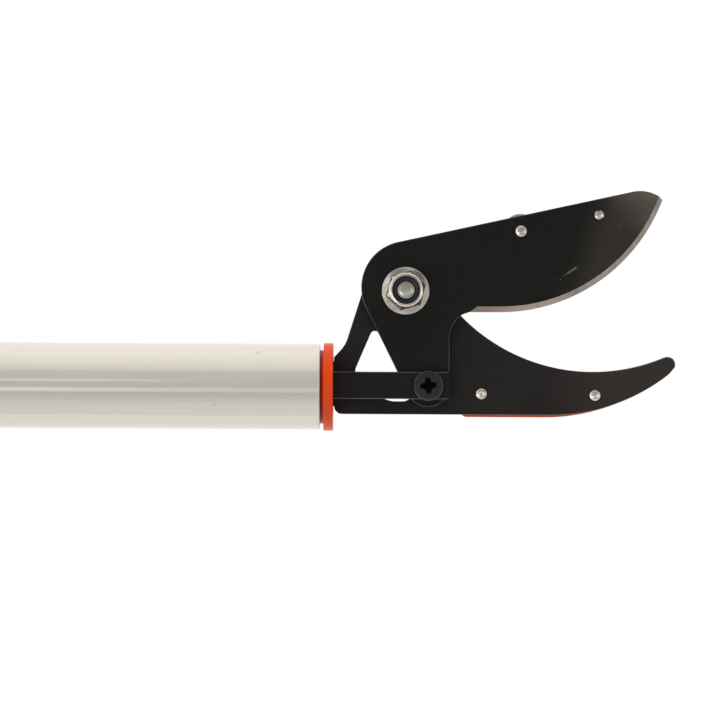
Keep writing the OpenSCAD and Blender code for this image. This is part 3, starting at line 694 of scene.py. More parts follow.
def touch(c0, r0, c1, r1, side):
    """Angle at which a line touches two circles on one side."""
    return aim(c0, c1) + side * degrees(acos((r0 - r1) / (c1 - c0).length))


def crossing(c0, r0, c1, r1):
    """Where two circles cross, to the left of the way from the first to the second."""
    apart = (c1 - c0).length
    ahead = (c1 - c0) / apart
    along = (apart ** 2 + r0 ** 2 - r1 ** 2) / (2 * apart)
    return c0 + ahead * along + sqrt(r0 ** 2 - along ** 2) * Vector((-ahead.y, ahead.x))


def slab(name, outline, y0, y1):
    """A flat outline drawn out along Y."""
    bm = bmesh.new()
    rings = [[bm.verts.new(Vector((x, y, z)) * MM) for x, z in outline] for y in (y0, y1)]
    bm.faces.new(rings[0])
    bm.faces.new(rings[1])
    join_rings(bm, rings)
    return new_object(name, bm)


def rivet_holes(node, front):
    """Stepped holes that the flush rivets sit in."""
    places = [middle_of(b).xz for b in solids(node)]
    heads = [rod_tool(*p, RIVET_SINK_R, front - 5, front + RIVET_SINK) for p in places]
    return heads + [rod_tool(*p, RIVET_HOLE_R) for p in places]


def round_plate_edges(obj, node, width, *finishes):
    """Rounds a plate's edges and lays the second finish on them, the third on slanted faces."""
    bm = welded(obj.data)
    slanted = [f for f in bm.faces if 0.05 < abs(f.normal.y) < 0.97]
    for face in slanted:
        face.material_index = 2
    soften(bm, width, angle=50, keep={v for f in slanted for v in f.verts}, material=1)
    bm.to_mesh(obj.data)
    bm.free()
    dress(obj, node, *finishes)


def blade_runs(wide):
    """Blade's outline: back and arm, cutting edge, bevel's inner line, cut corner and nose."""
    spine = touch(BOSS, BOSS_R, NOSE, NOSE_R, 1)
    arm = touch(BOSS, BOSS_R, DRIVE, ARM_R, -1)
    bay = Vector((DRIVE.x + ARM_R + CROTCH_R, 0))
    bay.y = CROTCH.y - sqrt(CROTCH_R ** 2 - (bay.x - CROTCH.x) ** 2)
    back = arc(BOSS, BOSS_R, spine, arm + 360) + arc(DRIVE, ARM_R, arm, 0)
    back += arc(bay, CROTCH_R, 180, aim(bay, CROTCH))
    tip = crossing(EDGE_MID, EDGE_R, NOSE, NOSE_R)
    inner_tip = crossing(EDGE_MID, EDGE_R - wide, NOSE, NOSE_R)
    edge = [HEEL, HEEL + Vector((RUN_OUT * wide, 0))]
    edge += arc(EDGE_MID, EDGE_R, -90, aim(EDGE_MID, tip), 48)
    inner = [HEEL, HEEL + Vector((RUN_OUT * wide, wide))]
    inner += arc(EDGE_MID, EDGE_R - wide, -90, aim(EDGE_MID, inner_tip), 48)
    corner = arc(NOSE, NOSE_R, aim(NOSE, tip), aim(NOSE, inner_tip), 4)[1:-1]
    nose = arc(NOSE, NOSE_R, aim(NOSE, inner_tip), spine)[1:-1]
    return back, edge, inner, corner, nose


def add_blade():
    """Coated blade with rounded edges that carry a painted highlight: its ground bevel runs out at the heel and
    stays sharp.
    """
    low, high = span("cutting_blade")
    thick = high.y - low.y
    wide = BEVEL_W * thick / (thick - GRIND_T)
    back, edge, inner, corner, nose = blade_runs(wide)
    bm = bmesh.new()

    def points(run, depth=0.0):
        return [bm.verts.new(Vector((p.x, high.y - thick + depth, p.y)) * MM) for p in run]

    def slope_at(p):
        return thick * (1 - (EDGE_R - (p - EDGE_MID).length) / wide)

    far = points(back + edge + corner + [inner[-1]] + nose, thick)
    top_back, top_inner, top_nose = points(back), points(inner), points(nose)
    top_corner = [points([p], slope_at(p))[0] for p in corner]
    rim = top_back + [top_inner[0]]
    for i in range(len(rim) - 1):
        bm.faces.new((far[i], far[i + 1], rim[i + 1], rim[i]))
    heel = len(back)
    tip = heel + len(edge) - 1
    for i in range(heel, tip - 1):
        k = i - heel
        bm.faces.new((far[i], far[i + 1], top_inner[k + 1], top_inner[k]))
    bm.faces.new([far[tip - 1], far[tip]] + top_corner + [top_inner[-1], top_inner[-2]])
    rim = [far[tip]] + top_corner + [top_inner[-1]] + top_nose + [top_back[0]]
    base = far[tip:] + [far[0]]
    for i in range(len(rim) - 1):
        bm.faces.new(list(dict.fromkeys((base[i], base[i + 1], rim[i + 1], rim[i]))))
    bm.faces.new(far)
    bm.faces.new(top_back + top_inner + top_nose)
    bmesh.ops.recalc_face_normals(bm, faces=bm.faces)
    obj = new_object("cutting_blade_piece", bm)
    plunge = HEEL - Vector((2.5, 2))
    ground = [plunge, plunge + Vector((120, 0)), plunge + Vector((120, 90)), plunge + Vector((-2.9, 90))]
    tools = [slab("tool", ground, low.y - 5, low.y + GRIND_T), rod_tool(*PIVOT, PIN_HOLE_R),
             rod_tool(*DRIVE, 2.35)]
    combine(obj, *tools, *rivet_holes("blade_rivets", low.y + GRIND_T))
    round_plate_edges(obj, "cutting_blade", 0.2, blade_mat, edge_highlight_mat, bevel_mat)


def hook_outline(start):
    """Hook, frame and tang, from the tang's end around the hook's point and back over the pivot."""
    tip_a = -degrees(acos((TIP_X - IN_MID.x) / (IN_R + TIP_R)))
    out_a = -degrees(acos((TIP_X + 0.2 * TIP_R - OUT_MID.x) / OUT_R))
    rise = 17.5
    arm = PIVOT + FRAME_R * way(180 - rise)
    bend_x = arm.x - (arm.y - 12.2) * tan(radians(rise))
    points = [Vector((start, -3.5)), Vector((start + 2, -5.5))]
    points += arc(Vector((head_x + 2.6, FLOOR_Z + 2.3)), 2.3, 180, 270)
    points += arc(OUT_MID, OUT_R, -90, out_a)
    points += arc(IN_MID + (IN_R + TIP_R) * way(tip_a), TIP_R, -25, 180 + tip_a)
    points += arc(IN_MID, IN_R, tip_a, -137)[1:]
    points += arc(PIVOT, FRAME_R, 0, 180 - rise)
    corners = (*points[-1], 0), (bend_x, 12.2, 9), (head_x + 0.2, 8.6, 0)
    points += rounded(*corners, steps=8)[1:]
    return points + [(head_x + 0.2, 7.4), (start + 2, 7.4), (start, 5.4)]


def add_hook():
    low, high = span("hook_blade")
    obj = slab("hook_blade_piece", hook_outline(low.x), low.y, high.y)
    window = rounded((head_x + 11.8, 17.8, 1.3), (head_x + 5.9, 4, 2.5), (head_x + 15.2, -4.1, 8),
                     (head_x + 25.6, -4.1, 3), steps=10)
    tools = [slab("tool", window, -10, 10), rod_tool(*PIVOT, PIN_HOLE_R)]
    tools += [rod_tool(middle_of(b).x, 0, 1.85) for b in solids("tang_screws")]
    combine(obj, *tools, *rivet_holes("hook_rivets", low.y))
    round_plate_edges(obj, "hook_blade", 0.16, hook_mat, edge_highlight_mat)


def add_pad():
    """Holding pad behind the hook: its lip shows below."""
    low, high = span("hook_holder")
    middle = OUT_MID - Vector((PAD_EASE, 0))
    radius = OUT_R + PAD_LIP
    end_a = -degrees(acos((TIP_X - 5 - middle.x) / radius))
    lip_a = -degrees(acos((TIP_X - 6 - IN_MID.x) / (IN_R + 0.5)))
    points = rounded((low.x, 8, 1), (low.x, FLOOR_Z - PAD_LIP, 1.6), (middle.x, FLOOR_Z - PAD_LIP, 0),
                     (middle.x, 8, 0), steps=6)[:-2]
    points += [tuple(p) for p in arc(middle, radius, -90, end_a) + arc(IN_MID, IN_R + 0.5, lip_a, -126)]
    obj = slab("hook_holder_piece", points, low.y, high.y)
    combine(obj, *[rod_tool(*middle_of(b).xz, RIVET_HOLE_R) for b in solids("hook_rivets")])
    round_plate_edges(obj, "hook_holder", 0.14, pad_mat, pad_mat)


def add_strip():
    """Pull strip: square end at the drive screw, slot around the yoke's pin inside the plug."""
    low, high = span("drive_strip")
    outline = rounded((low.x, low.z, 2), (high.x, low.z, 0.6), (high.x, high.z, 0.6), (low.x, high.z, 2))
    obj = slab("drive_strip_piece", outline, low.y, high.y)
    yoke = middle_of(span("yoke_pin"))
    slot = rounded(*[(yoke.x + a * YOKE_SLOT[0], drive.z + b * YOKE_SLOT[1], 1.5)
                     for a, b in ((-1, -1), (1, -1), (1, 1), (-1, 1))])
    combine(obj, slab("tool", slot, -20, 20), rod_tool(*DRIVE, PIN_HOLE_R))
    round_plate_edges(obj, "drive_strip", 0.22, coat_mat, edge_highlight_mat)


def cross_recess(centre, axis, turn, reach=2.35, half=0.6, depth=2.1):
    """Tapered cross for a screw's driver, sunk from centre along axis, with a pointed bottom."""
    axis = Vector(axis)
    first = Vector(ALONG)
    second = axis.cross(first)
    bm = bmesh.new()
    rings = []
    for share, sunk in ((1.05, -0.3), (1.0, 0.0), (0.55, 0.7 * depth)):
        ring = []
        for quarter in range(4):
            a = radians(90 * quarter + turn)
            wide = half * (0.5 + 0.5 * share)
            for along, over in ((reach * share, -wide), (reach * share, wide), (1.7 * wide, 1.7 * wide)):
                x = along * cos(a) - over * sin(a)
                z = along * sin(a) + over * cos(a)
                ring.append(bm.verts.new((Vector(centre) + axis * sunk + first * x + second * z) * MM))
        rings.append(ring)
    bm.faces.new(rings[0])
    rings.append([bm.verts.new((Vector(centre) + axis * depth) * MM)])
    join_rings(bm, rings)
    return new_object("tool", bm)


def add_drive_screw():
    low, high = span("drive_screw")
    radius = high.x - drive.x - 0.05
    top = high.y - low.y
    outline = rounded((0, 0, 0), (2.3, 0, 0.3), (2.3, 2.9, 0), (3.0, 2.9, 0), (3.0, top - 2.2, 0),
                      (radius, top - 2.2, 0.15), (radius, top - 0.5, 0.2), (radius - 0.5, top, 0.25),
                      (0, top, 0))
    bm = turned(outline, (drive.x, high.y, drive.z), TOWARDS_CAMERA)
    obj = new_object("drive_screw_piece", bm)
    combine(obj, cross_recess((drive.x, low.y, drive.z), AWAY, -5.5))
    # Faces inside the cross take the painted shade
    for polygon in obj.data.polygons:
        at = polygon.center / MM
        inside = hypot(at.x - drive.x, at.z - drive.z) < 2.5 and low.y + 0.02 < at.y < low.y + 2.1
        polygon.material_index = int(inside)
    dress(obj, "drive_screw", screw_mat, recess_shade_mat)


def round_hex(angle, corner):
    """Distance to the side of a hexagon with rounded corners, one of them at corner degrees."""
    off = (angle - corner) % 60 - 30
    return min(NUT_FLAT / 2 / cos(radians(off)), NUT_ROUND)


def hex_ring(bm, back, radius_at, height_at, sides=144):
    """Points around the pivot, at a radius and a height in front of back that depend on the angle."""
    ring = []
    for i in range(sides):
        a = 360 * i / sides
        x, z = PIVOT + radius_at(a) * way(a)
        ring.append(bm.verts.new(Vector((x, back - height_at(a), z)) * MM))
    return ring


# Rolled collar over the nut's shoulder, as (radius, height)
COLLAR = [(4.98, 0.0), (5.04, 0.25), (5.05, 0.5), (5.01, 0.75), (4.92, 0.98), (4.78, 1.2), (4.61, 1.37),
          (4.44, 1.47), (4.3, 1.49), (4.2, 1.5), (4.1, 1.56), (4.02, 1.56), (3.96, 1.47), (3.93, 1.25),
          (3.92, 0.9), (3.92, -0.3), (PIN_HOLE_R, -0.35)]


def add_nut():
    low, high = span("pivot_nut")
    flange = high.x - pivot.x - 0.1
    shoulder = high.y - low.y - 1.6
    bm = bmesh.new()

    def side(angle):
        return round_hex(angle, NUT_CORNER)

    def level(radius, height):
        return hex_ring(bm, high.y, lambda a: radius, lambda a: height)

    def six(grow, height, slope=0.0):
        return hex_ring(bm, high.y, lambda a: side(a) + grow,
                        lambda a: height - slope * (side(a) - NUT_FLAT / 2))

    rings = [level(*at) for at in ((PIN_HOLE_R, 0), (flange - 0.2, 0), (flange - 0.05, 0.08), (flange, 0.22),
                                   (flange, 0.6), (flange - 0.08, 0.8), (flange - 0.28, 0.94))]
    rings += [six(0.75, 1.22), six(0.5, 1.32)]
    crevice = len(rings)
    rings += [six(0.3, 1.42), six(0.1, 1.58), six(0.0, 1.9)]
    rings += [six(-0.02, shoulder - 0.62, 0.9), six(-0.1, shoulder - 0.4, 0.8)]
    rings += [six(-0.16, shoulder - 0.25, 0.6)]
    collar = len(rings)
    rings += [level(r, shoulder + h) for r, h in COLLAR]
    join_rings(bm, rings, closed=True)
    # Rings at the collar's foot take the painted shade
    shaded_verts = {v for ring in rings[crevice:crevice + 3] for v in ring}
    # The collar's rings take the brighter zinc, a painted highlight
    bright = {v for ring in rings[collar - 2:] for v in ring}
    for face in bm.faces:
        if all(v in shaded_verts for v in face.verts):
            face.material_index = 1
        elif all(v in bright for v in face.verts):
            face.material_index = 2
    add_piece("pivot_nut", bm, zinc_mat, crevice_shade_mat, collar_highlight_mat, angle=28)


def add_nut_insert():
    low, high = span("nut_insert")
    outer = high.x - pivot.x
    tall = high.y - low.y
    outline = rounded((PIN_HOLE_R, 0, 0), (outer, 0, 0), (outer, tall, 0.2), (2.62, tall - 0.12, 0.25),
                      (PIN_HOLE_R, tall - 0.75, 0))
    centre = (pivot.x, high.y, pivot.z)
    add_piece("nut_insert", turned(outline, centre, TOWARDS_CAMERA, closed=True))


# Bolt's end with a chamfer and a groove around its dome, as (radius, distance from the end)
BOLT_END = [(2.95, 1.1), (2.6, 0.75), (2.58, 0.6), (2.5, 0.46), (2.36, 0.36), (2.2, 0.31), (2.1, 0.32),
            (2.04, 0.28), (1.96, 0.19), (1.7, 0.1), (1.3, 0.04), (0.8, 0.01), (0, 0)]


def add_bolt():
    """Hexagon head behind the hook, plain shank, thread with a chamfered end in the nut."""
    low, high = span("pivot_bolt")
    head = 4.0
    tall = high.y - low.y
    pitch = 1.0
    thread_from = tall - 6.5
    outline = [(0, head - 0.5), (BOLT_R, head - 0.5), (BOLT_R, thread_from)]
    for k in range(5):
        start = thread_from + k * pitch
        outline += [(2.55, start + 0.42), (2.55, start + 0.55)]
        outline += [(BOLT_R, start + 0.97), (BOLT_R, start + pitch)]
    outline += [(radius, tall - drop) for radius, drop in BOLT_END]
    bm = turned(outline, (pivot.x, high.y, pivot.z), TOWARDS_CAMERA)

    def chamfer(a):
        return 0.5 * (round_hex(a, 0) - NUT_FLAT / 2)

    rings = [[bm.verts.new(Vector((pivot.x, high.y, pivot.z)) * MM)],
             hex_ring(bm, high.y, lambda a: 4.6, lambda a: 0),
             hex_ring(bm, high.y, lambda a: round_hex(a, 0), lambda a: 0.2 + chamfer(a)),
             hex_ring(bm, high.y, lambda a: round_hex(a, 0), lambda a: head),
             [bm.verts.new(Vector((pivot.x, high.y - head, pivot.z)) * MM)]]
    join_rings(bm, rings)
    add_piece("pivot_bolt", bm, angle=28)


def add_washer():
    low, high = span("pivot_washer")
    outer = high.x - pivot.x
    tall = high.y - low.y
    outline = rounded((PIN_HOLE_R, 0, 0.15), (outer, 0, 0.15), (outer, tall, 0.35), (PIN_HOLE_R, tall, 0.2))
    add_piece("pivot_washer", turned(outline, (pivot.x, low.y, pivot.z), AWAY, closed=True))


def spacer_outline(radius, tall):
    return rounded((1.56, 0, 0.1), (radius, 0, 0.25), (radius, tall, 0.25), (1.56, tall, 0.1))


# Rivets' heads in front, as (radius, depth)
DOMED = [(0, -0.26), (0.45, -0.245), (0.8, -0.2), (0.95, -0.165), (1.1, -0.12), (1.25, -0.065), (1.4, 0.0),
         (1.55, 0.08), (1.68, 0.19), (1.76, 0.34), (RIVET_HEAD_R, 0.5)]
SUNK = [(r, h + 0.1) for r, h in DOMED]
FLUSH = [(0, -0.22), (0.5, -0.2), (0.9, -0.14), (1.2, -0.05), (1.34, 0.0), (1.55, 0.01),
         (RIVET_HEAD_R, 0.02), (RIVET_HEAD_R, 0.5)]
DIMPLED = [(0, 0.6), (0.14, 0.58), (0.34, 0.12), (0.5, 0.03)] + SUNK[2:]


RIVET_BACK = [(2.9, 1.5), (3.0, 1.35), (2.95, 1.05), (2.6, 0.55), (1.9, 0.16), (1.0, 0.02), (0, 0)]


def chip(off):
    """Distance from a rivet's middle to the coat that covers its rim, with two notches."""
    turn = degrees(atan2(off.y, off.x))
    notches = ((97, 13, 0.5), (-60, 20, 0.2))
    return 1.32 - sum(depth * exp(-((turn - a) / wide) ** 2) for a, wide, depth in notches)


def add_rivets(node, faces, painted=()):
    """Flush heads in front, domed heads behind, some with coat left on the rim."""
    bm = bmesh.new()
    for i, ((low, high), front) in enumerate(zip(solids(node), faces)):
        x, z = (low.x + high.x) / 2, (low.z + high.z) / 2
        tall = high.y - low.y
        outline = front + [(RIVET_HEAD_R, RIVET_SINK), (RIVET_R, RIVET_SINK), (RIVET_R, tall - 1.5)]
        outline += [(radius, tall - drop) for radius, drop in RIVET_BACK]
        turned(outline, (x, low.y, z), AWAY, bm=bm)
        if i not in painted:
            continue
        for face in bm.faces:
            at = face.calc_center_median() / MM
            off = Vector((at.x - x, at.z - z))
            face.material_index = int(chip(off) < off.length < 3 and at.y < low.y + 0.6)
    add_piece(node, bm, bright_mat, blade_mat)


def tang_outline(radius, tall):
    return rounded((0, 0, 0), (1.8, 0, 0.3), (1.8, tall - 2, 0), (3.5, tall - 2, 0.15),
                   (3.4, tall - 0.9, 0.8), (1.6, tall, 1.5), (0, tall, 0))


def shell_screw_outline(radius, tall):
    return rounded((0, 0, 0), (1.5, 0, 0.6), (1.5, tall - 2.2, 0), (radius, tall - 2.2, 0.2),
                   (radius, tall - 0.7, 0.5), (radius - 0.8, tall, 0.4), (0, tall, 0))


def add_screws(node, outline_of, sides, turn, step, *recess):
    """Screws from behind, with a cross at another angle in each."""
    obj = new_object(node + "_piece", turned_each(node, outline_of, sides))
    heads = [(middle_of(b).x, b[1].y, middle_of(b).z) for b in solids(node)]
    combine(obj, *[cross_recess(p, TOWARDS_CAMERA, turn + step * i, *recess) for i, p in enumerate(heads)])
    dress(obj, node)


def add_holder():
    """Holding plate behind the blade: its lower edge follows the hook's when the jaws are closed."""
    low, high = span("blade_holder")
    rivets = [middle_of(b).xz for b in solids("blade_rivets")]
    spine = touch(BOSS, BOSS_R, NOSE, NOSE_R, 1)
    ahead = way(spine - 90)
    up = 3.5 * way(spine)
    rear = rivets[0] - 9.5 * ahead
    fore = rivets[1] + 7 * ahead
    closing = radians(joints["blade_close"]["range_deg"][1])
    middle = PIVOT + spun(IN_MID - PIVOT, closing)
    start = aim(middle, rear - Vector((0, 9)))
    end = aim(middle, fore - Vector((0, 3)))
    points = [fore + 0.4 * up, fore - 3 * ahead + 0.8 * up, rear + 3 * ahead + up, rear + 0.6 * up]
    obj = slab("blade_holder_piece", points + arc(middle, IN_R - 1, start, end), low.y, high.y)
    combine(obj, *[rod_tool(*p, RIVET_HOLE_R) for p in rivets])
    round_plate_edges(obj, "blade_holder", 0.25, coat_mat, edge_highlight_mat)


# Rod, guides and spring inside the pole
def add_bar(node, axis, edge):
    """A plain bar or pin with rounded ends."""
    low, high = span(node)
    centre = (low + high) / 2
    length = (high - low).dot(Vector(axis))
    radius = (high.z - low.z) / 2
    outline = rounded((0, -length / 2, 0), (radius, -length / 2, edge), (radius, length / 2, edge),
                      (0, length / 2, 0))
    add_piece(node, turned(outline, centre, axis, 64))


def add_rings(node, bore, edge):
    """Rings on the rod."""
    bm = bmesh.new()
    for low, high in solids(node):
        radius = high.z
        length = high.x - low.x
        outline = rounded((bore, 0, edge), (radius, 0, edge), (radius, length, edge), (bore, length, edge))
        turned(outline, (low.x, 0, 0), ALONG, closed=True, bm=bm)
    add_piece(node, bm)


SPRING_TURNS = 12
SPRING_WIRE = 1.6


def add_spring():
    """Coil with closed ends."""
    low, high = span("return_spring")
    wire = SPRING_WIRE / 2
    middle = high.z - wire
    steps = 32
    wire_turns = [2 * pi * j / 12 for j in range(12)]
    bm = bmesh.new()
    rings = []
    for i in range(SPRING_TURNS * steps + 1):
        a = 2 * pi * i / steps
        x = low.x + wire + (high.x - low.x - 2 * wire) * i / (SPRING_TURNS * steps)
        out = Vector((0, cos(a), sin(a)))
        centre = Vector((x, 0, 0)) + out * middle
        round_wire = [out * cos(b) + Vector(ALONG) * sin(b) for b in wire_turns]
        rings.append([bm.verts.new((centre + wire * way_out) * MM) for way_out in round_wire])
    bm.faces.new(rings[0])
    bm.faces.new(rings[-1])
    join_rings(bm, rings)
    obj = add_piece("return_spring", bm)
    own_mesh(obj)


# Handle: two shells around the butt end of the pole
CAP_T = 4
HANDLE_END = span("handle_front_shell")[1].x
HUMP_TOP = span("handle_front_shell")[1].z
FOOT_Z = span("handle_front_shell")[0].z
SHELL_WALL = 2.6
HUMP_HALF = 13
CHIN_HALF = 7.5
GRIP_FOOT_X = 18
GRIP_TOP_X = 34
GRIP_DEPTH = 32
GRIP_W = 30
RIB_PITCH = 6.4
RIB_DEPTH = 0.45
TUBE_STOP = tube_low.x - 3
SLOT_HALF = 5.3
SLOT_START = trigger_axis.x - 24
HANG_R = 4
HANG = (GRIP_FOOT_X + 1.5, FOOT_Z + 12)
HANDLE_STEP = 1.6


def hump_outline(inset):
    return rounded((6 + inset, 4, 0), (28 + inset, HUMP_TOP - inset, 24),
                   (trigger_axis.x + 18, HUMP_TOP - inset, 26), (tube_low.x + 48 - 2 * inset, 4, 0), steps=10)


CHIN = rounded((tube_low.x + 18, 0, 0), (tube_low.x + 26, -butt_r - 10, 6),
               (HANDLE_END - 16, -butt_r - 10, 6), (HANDLE_END - 8, 0, 0), steps=6)


def grip_field(p, inset, ribs):
    """Leaning oval grip with a slight palm swell and, outside, ribs for the hand."""
    lean = atan2(GRIP_TOP_X - GRIP_FOOT_X, -FOOT_Z)
    x, z = p[..., 0] - GRIP_FOOT_X, p[..., 2] - FOOT_Z
    along = x * sin(lean) + z * cos(lean)
    across = x * cos(lean) - z * sin(lean)
    oval = (np.hypot(across / (GRIP_DEPTH / 2), p[..., 1] / (GRIP_W / 2)) - 1) * GRIP_W / 2 + inset
    oval = oval - 0.9 * np.exp(-((along - 52) / 24) ** 2)
    if ribs:
        inner = np.clip((along - 22) / 5, 0, 1) * np.clip((88 - along) / 5, 0, 1)
        oval = oval + RIB_DEPTH * inner * (1 - np.cos(2 * pi * along / RIB_PITCH)) / 2
    return both(both(oval, -z + inset, 4), p[..., 2] - 6, 0.5)


def handle_outside(p):
    barrel = bar_field(p, CAP_T, HANDLE_END, butt_r, 1.4)
    body = blend(barrel, slab_field(p, hump_outline(0), HUMP_HALF, 5), 7)
    body = blend(body, grip_field(p, 0, True), 9)
    return blend(body, slab_field(p, CHIN, CHIN_HALF, 3), 5)


def handle_inside(p):
    """Room inside the shells, less the posts for screws, pin and hanging hole."""
    room = bar_field(p, CAP_T - 5, TUBE_STOP, butt_r - SHELL_WALL, 0.1)
    over = slab_field(p, hump_outline(SHELL_WALL), HUMP_HALF - SHELL_WALL, 4)
    over = np.maximum(over, np.maximum(p[..., 0] - TUBE_STOP, -p[..., 2]))
    room = np.minimum(room, over)
    room = np.minimum(room, np.maximum(grip_field(p, SHELL_WALL + 0.6, False), p[..., 2]))
    posts = pin_field(p, *HANG, HANG_R + 3)
    for box in solids("shell_screws"):
        posts = np.minimum(posts, pin_field(p, *middle_of(box).xz, 4))
    bearing = np.maximum(pin_field(p, trigger_axis.x, trigger_axis.z, 6), 5.5 - np.abs(p[..., 1]))
    return np.maximum(room, -np.minimum(posts, bearing))


def handle_field(p):
    return np.maximum(handle_outside(p), -handle_inside(p))


def screw_bores():
    """Bores for the shell screws, with a wide mouth behind."""
    tools = []
    for box in solids("shell_screws"):
        low, high = box
        x, z = middle_of(box).xz
        mouth = (high.x - low.x) / 2 + 0.05
        tools += [rod_tool(x, z, 1.55, low.y - 0.3, 30), rod_tool(x, z, mouth, high.y - 2.2, 30)]
    return tools


def seam_groove(obj):
    """Draws the outer edge of a shell in along the seam."""
    bm = bmesh.new()
    bm.from_mesh(obj.data)
    verts = [v for v in bm.verts if abs(v.co.y) < 0.06 * MM]
    at = np.array([v.co for v in verts]) / MM
    level = handle_outside(at)
    nudge = 0.05
    slope = np.stack([handle_outside(at + nudge * a) - level for a in np.eye(3)], -1) / nudge
    for vert, height, out in zip(verts, level, slope):
        if height > -0.15:
            vert.co -= Vector((out[0], 0, out[2])) * 0.3 * MM
    bm.to_mesh(obj.data)
    bm.free()


def add_handle():
    low, high = span("handle_front_shell")
    bm = skin(handle_field, (low.x - 4, -24, low.z - 4), (high.x + 4, 24, high.z + 4), HANDLE_STEP)
    whole = new_object("handle", bm)
    tools = [bar_tool((tube_low.x, 0, 0), ALONG, tube_r + 0.05, HANDLE_END - tube_low.x + 5),
             bar_tool((TUBE_STOP - 5, 0, 0), ALONG, tube_r - TUBE_WALL, 10),
             box_tool((SLOT_START, -SLOT_HALF, -butt_r - 6), (TUBE_STOP, SLOT_HALF, 0)),
             rod_tool(*HANG, HANG_R, -30, 30),
             rod_tool(trigger_axis.x, trigger_axis.z, 3.05, SHELL_WALL - HUMP_HALF, HUMP_HALF - SHELL_WALL)]
    combine(whole, *tools, *screw_bores())
    for node, y0, y1 in (("handle_front_shell", -40, -0.05), ("handle_rear_shell", 0.05, 40)):
        half = new_object(node + "_piece", bmesh.new())
        half.data = whole.data.copy()
        combine(half, box_tool((-50, y0, -200), (300, y1, 200)), operation="INTERSECT")
        seam_groove(half)
        dress(half, node)
    bpy.data.objects.remove(whole)


def add_cap():
    """Cap on the butt: flat face with a rounded rim and a shallow ring, spigot inside the barrel."""
    high = span("butt_cap")[1]
    spigot = butt_r - SHELL_WALL - 0.05
    outline = rounded((0, 0, 0), (butt_r - 6.5, 0, 0.3), (butt_r - 6.0, 0.5, 0.25), (butt_r - 5.0, 0.5, 0.25),
                      (butt_r - 4.5, 0, 0.3), (butt_r, 0, 1.4), (butt_r, CAP_T, 0.5), (spigot, CAP_T, 0),
                      (spigot, high.x, 0.6), (0, high.x, 0))
    add_piece("butt_cap", turned(outline, (0, 0, 0), ALONG, 128))


# Trigger, drawn hanging straight down from its pivot and then swung forward
LEVER_HALF = 5
LEVER_W = 6.4
HUB_R = 8
BOW_HALF = 10
BOW_R = 53
BOW_T = 10
BOW_CENTRE = (52, -84)
BOW_REACH = radians(32.6)
SWING = radians(joints["trigger_pull"]["range_deg"][1]) / 2


def trigger_local(p):
    """Place in the trigger's own frame, hanging straight down."""
    x, z = p[..., 0] - trigger_axis.x, p[..., 2] - trigger_axis.z
    c, s = cos(SWING), sin(SWING)
    return np.stack([x * c + z * s, p[..., 1], z * c - x * s], -1)


def trigger_field(p):
    q = trigger_local(p)
    hub = [(HUB_R * cos(pi * k / 24), HUB_R * sin(pi * k / 24)) for k in range(25)]
    lever = hub + [(-LEVER_W, -30), (-LEVER_W + 1.6, BOW_CENTRE[1] + 18), (-1.5, BOW_CENTRE[1]),
                   (2, BOW_CENTRE[1]), (LEVER_W, BOW_CENTRE[1] + 22), (LEVER_W, -30)]
    x, z = q[..., 0] - BOW_CENTRE[0], q[..., 2] - BOW_CENTRE[1]
    turn = np.clip(np.arctan2(z, -x), -BOW_REACH, BOW_REACH)
    bow = np.hypot(x + BOW_R * np.cos(turn), z - BOW_R * np.sin(turn)) - BOW_T / 2
    fingers = np.clip((BOW_R - np.hypot(x, z)) / 2, 0, 1) * np.clip((0.42 - np.abs(turn)) / 0.08, 0, 1)
    bow = bow + 0.4 * fingers * (1 - np.cos(2 * pi * turn * BOW_R / 4.5)) / 2
    return blend(slab_field(q, lever, LEVER_HALF, 1.6), both(bow, np.abs(q[..., 1]) - BOW_HALF, 4), 5)


def swung_tool(tool):
    """Turns a tool from the trigger's own frame into place."""
    c, s = cos(SWING), sin(SWING)
    for vert in tool.data.vertices:
        x, z = vert.co.x, vert.co.z
        vert.co.x = x * c - z * s + trigger_axis.x * MM
        vert.co.z = x * s + z * c + trigger_axis.z * MM
    return tool


def add_trigger():
    low, high = span("trigger")
    bm = skin(trigger_field, low - Vector((3, 3, 3)), high + Vector((3, 3, 3)), 1.0)
    obj = new_object("trigger_piece", bm)
    arm = trigger_axis.z
    tools = [rod_tool(0, 0, PIN_HOLE_R), rod_tool(0, -arm, 2.55),
             box_tool((-20, -2.4, -arm - 12), (20, 2.4, -arm + 12))]
    combine(obj, *[swung_tool(t) for t in tools])
    dress(obj, "trigger")


# Floor, world and lamp. The room's light is given by the direction that a surface reflects
FLOOR_DROP = 220
FLOOR_FRONT = -0.05
DARK_ROOM = 0.22
ROOM_LIGHT = 0.9
# Axis, start and end along it, and gain
GLOWS = [(2, 0.7, 1.0, 0.32), (2, -0.18, -1.0, 0.72), (0, -0.42, -0.72, 0.75), (0, 0.55, 0.8, 0.45)]
# Lower and upper edge, softness, gain, and where along X it fades in
STRIPS = [(-0.28, -0.02, 0.06, 0.38, (1.1, 1.05)), (-0.24, -0.08, 0.05, 0.45, (-0.06, -0.17)),
          (0.2, 0.34, 0.05, 0.5, (-0.06, -0.13))]
# Middle, half width in degrees, and gain
WINDOWS = [((-0.4, -0.9, -0.32), 9, 1.6), ((0.45, -0.9, 0.02), 6, 1.3)]


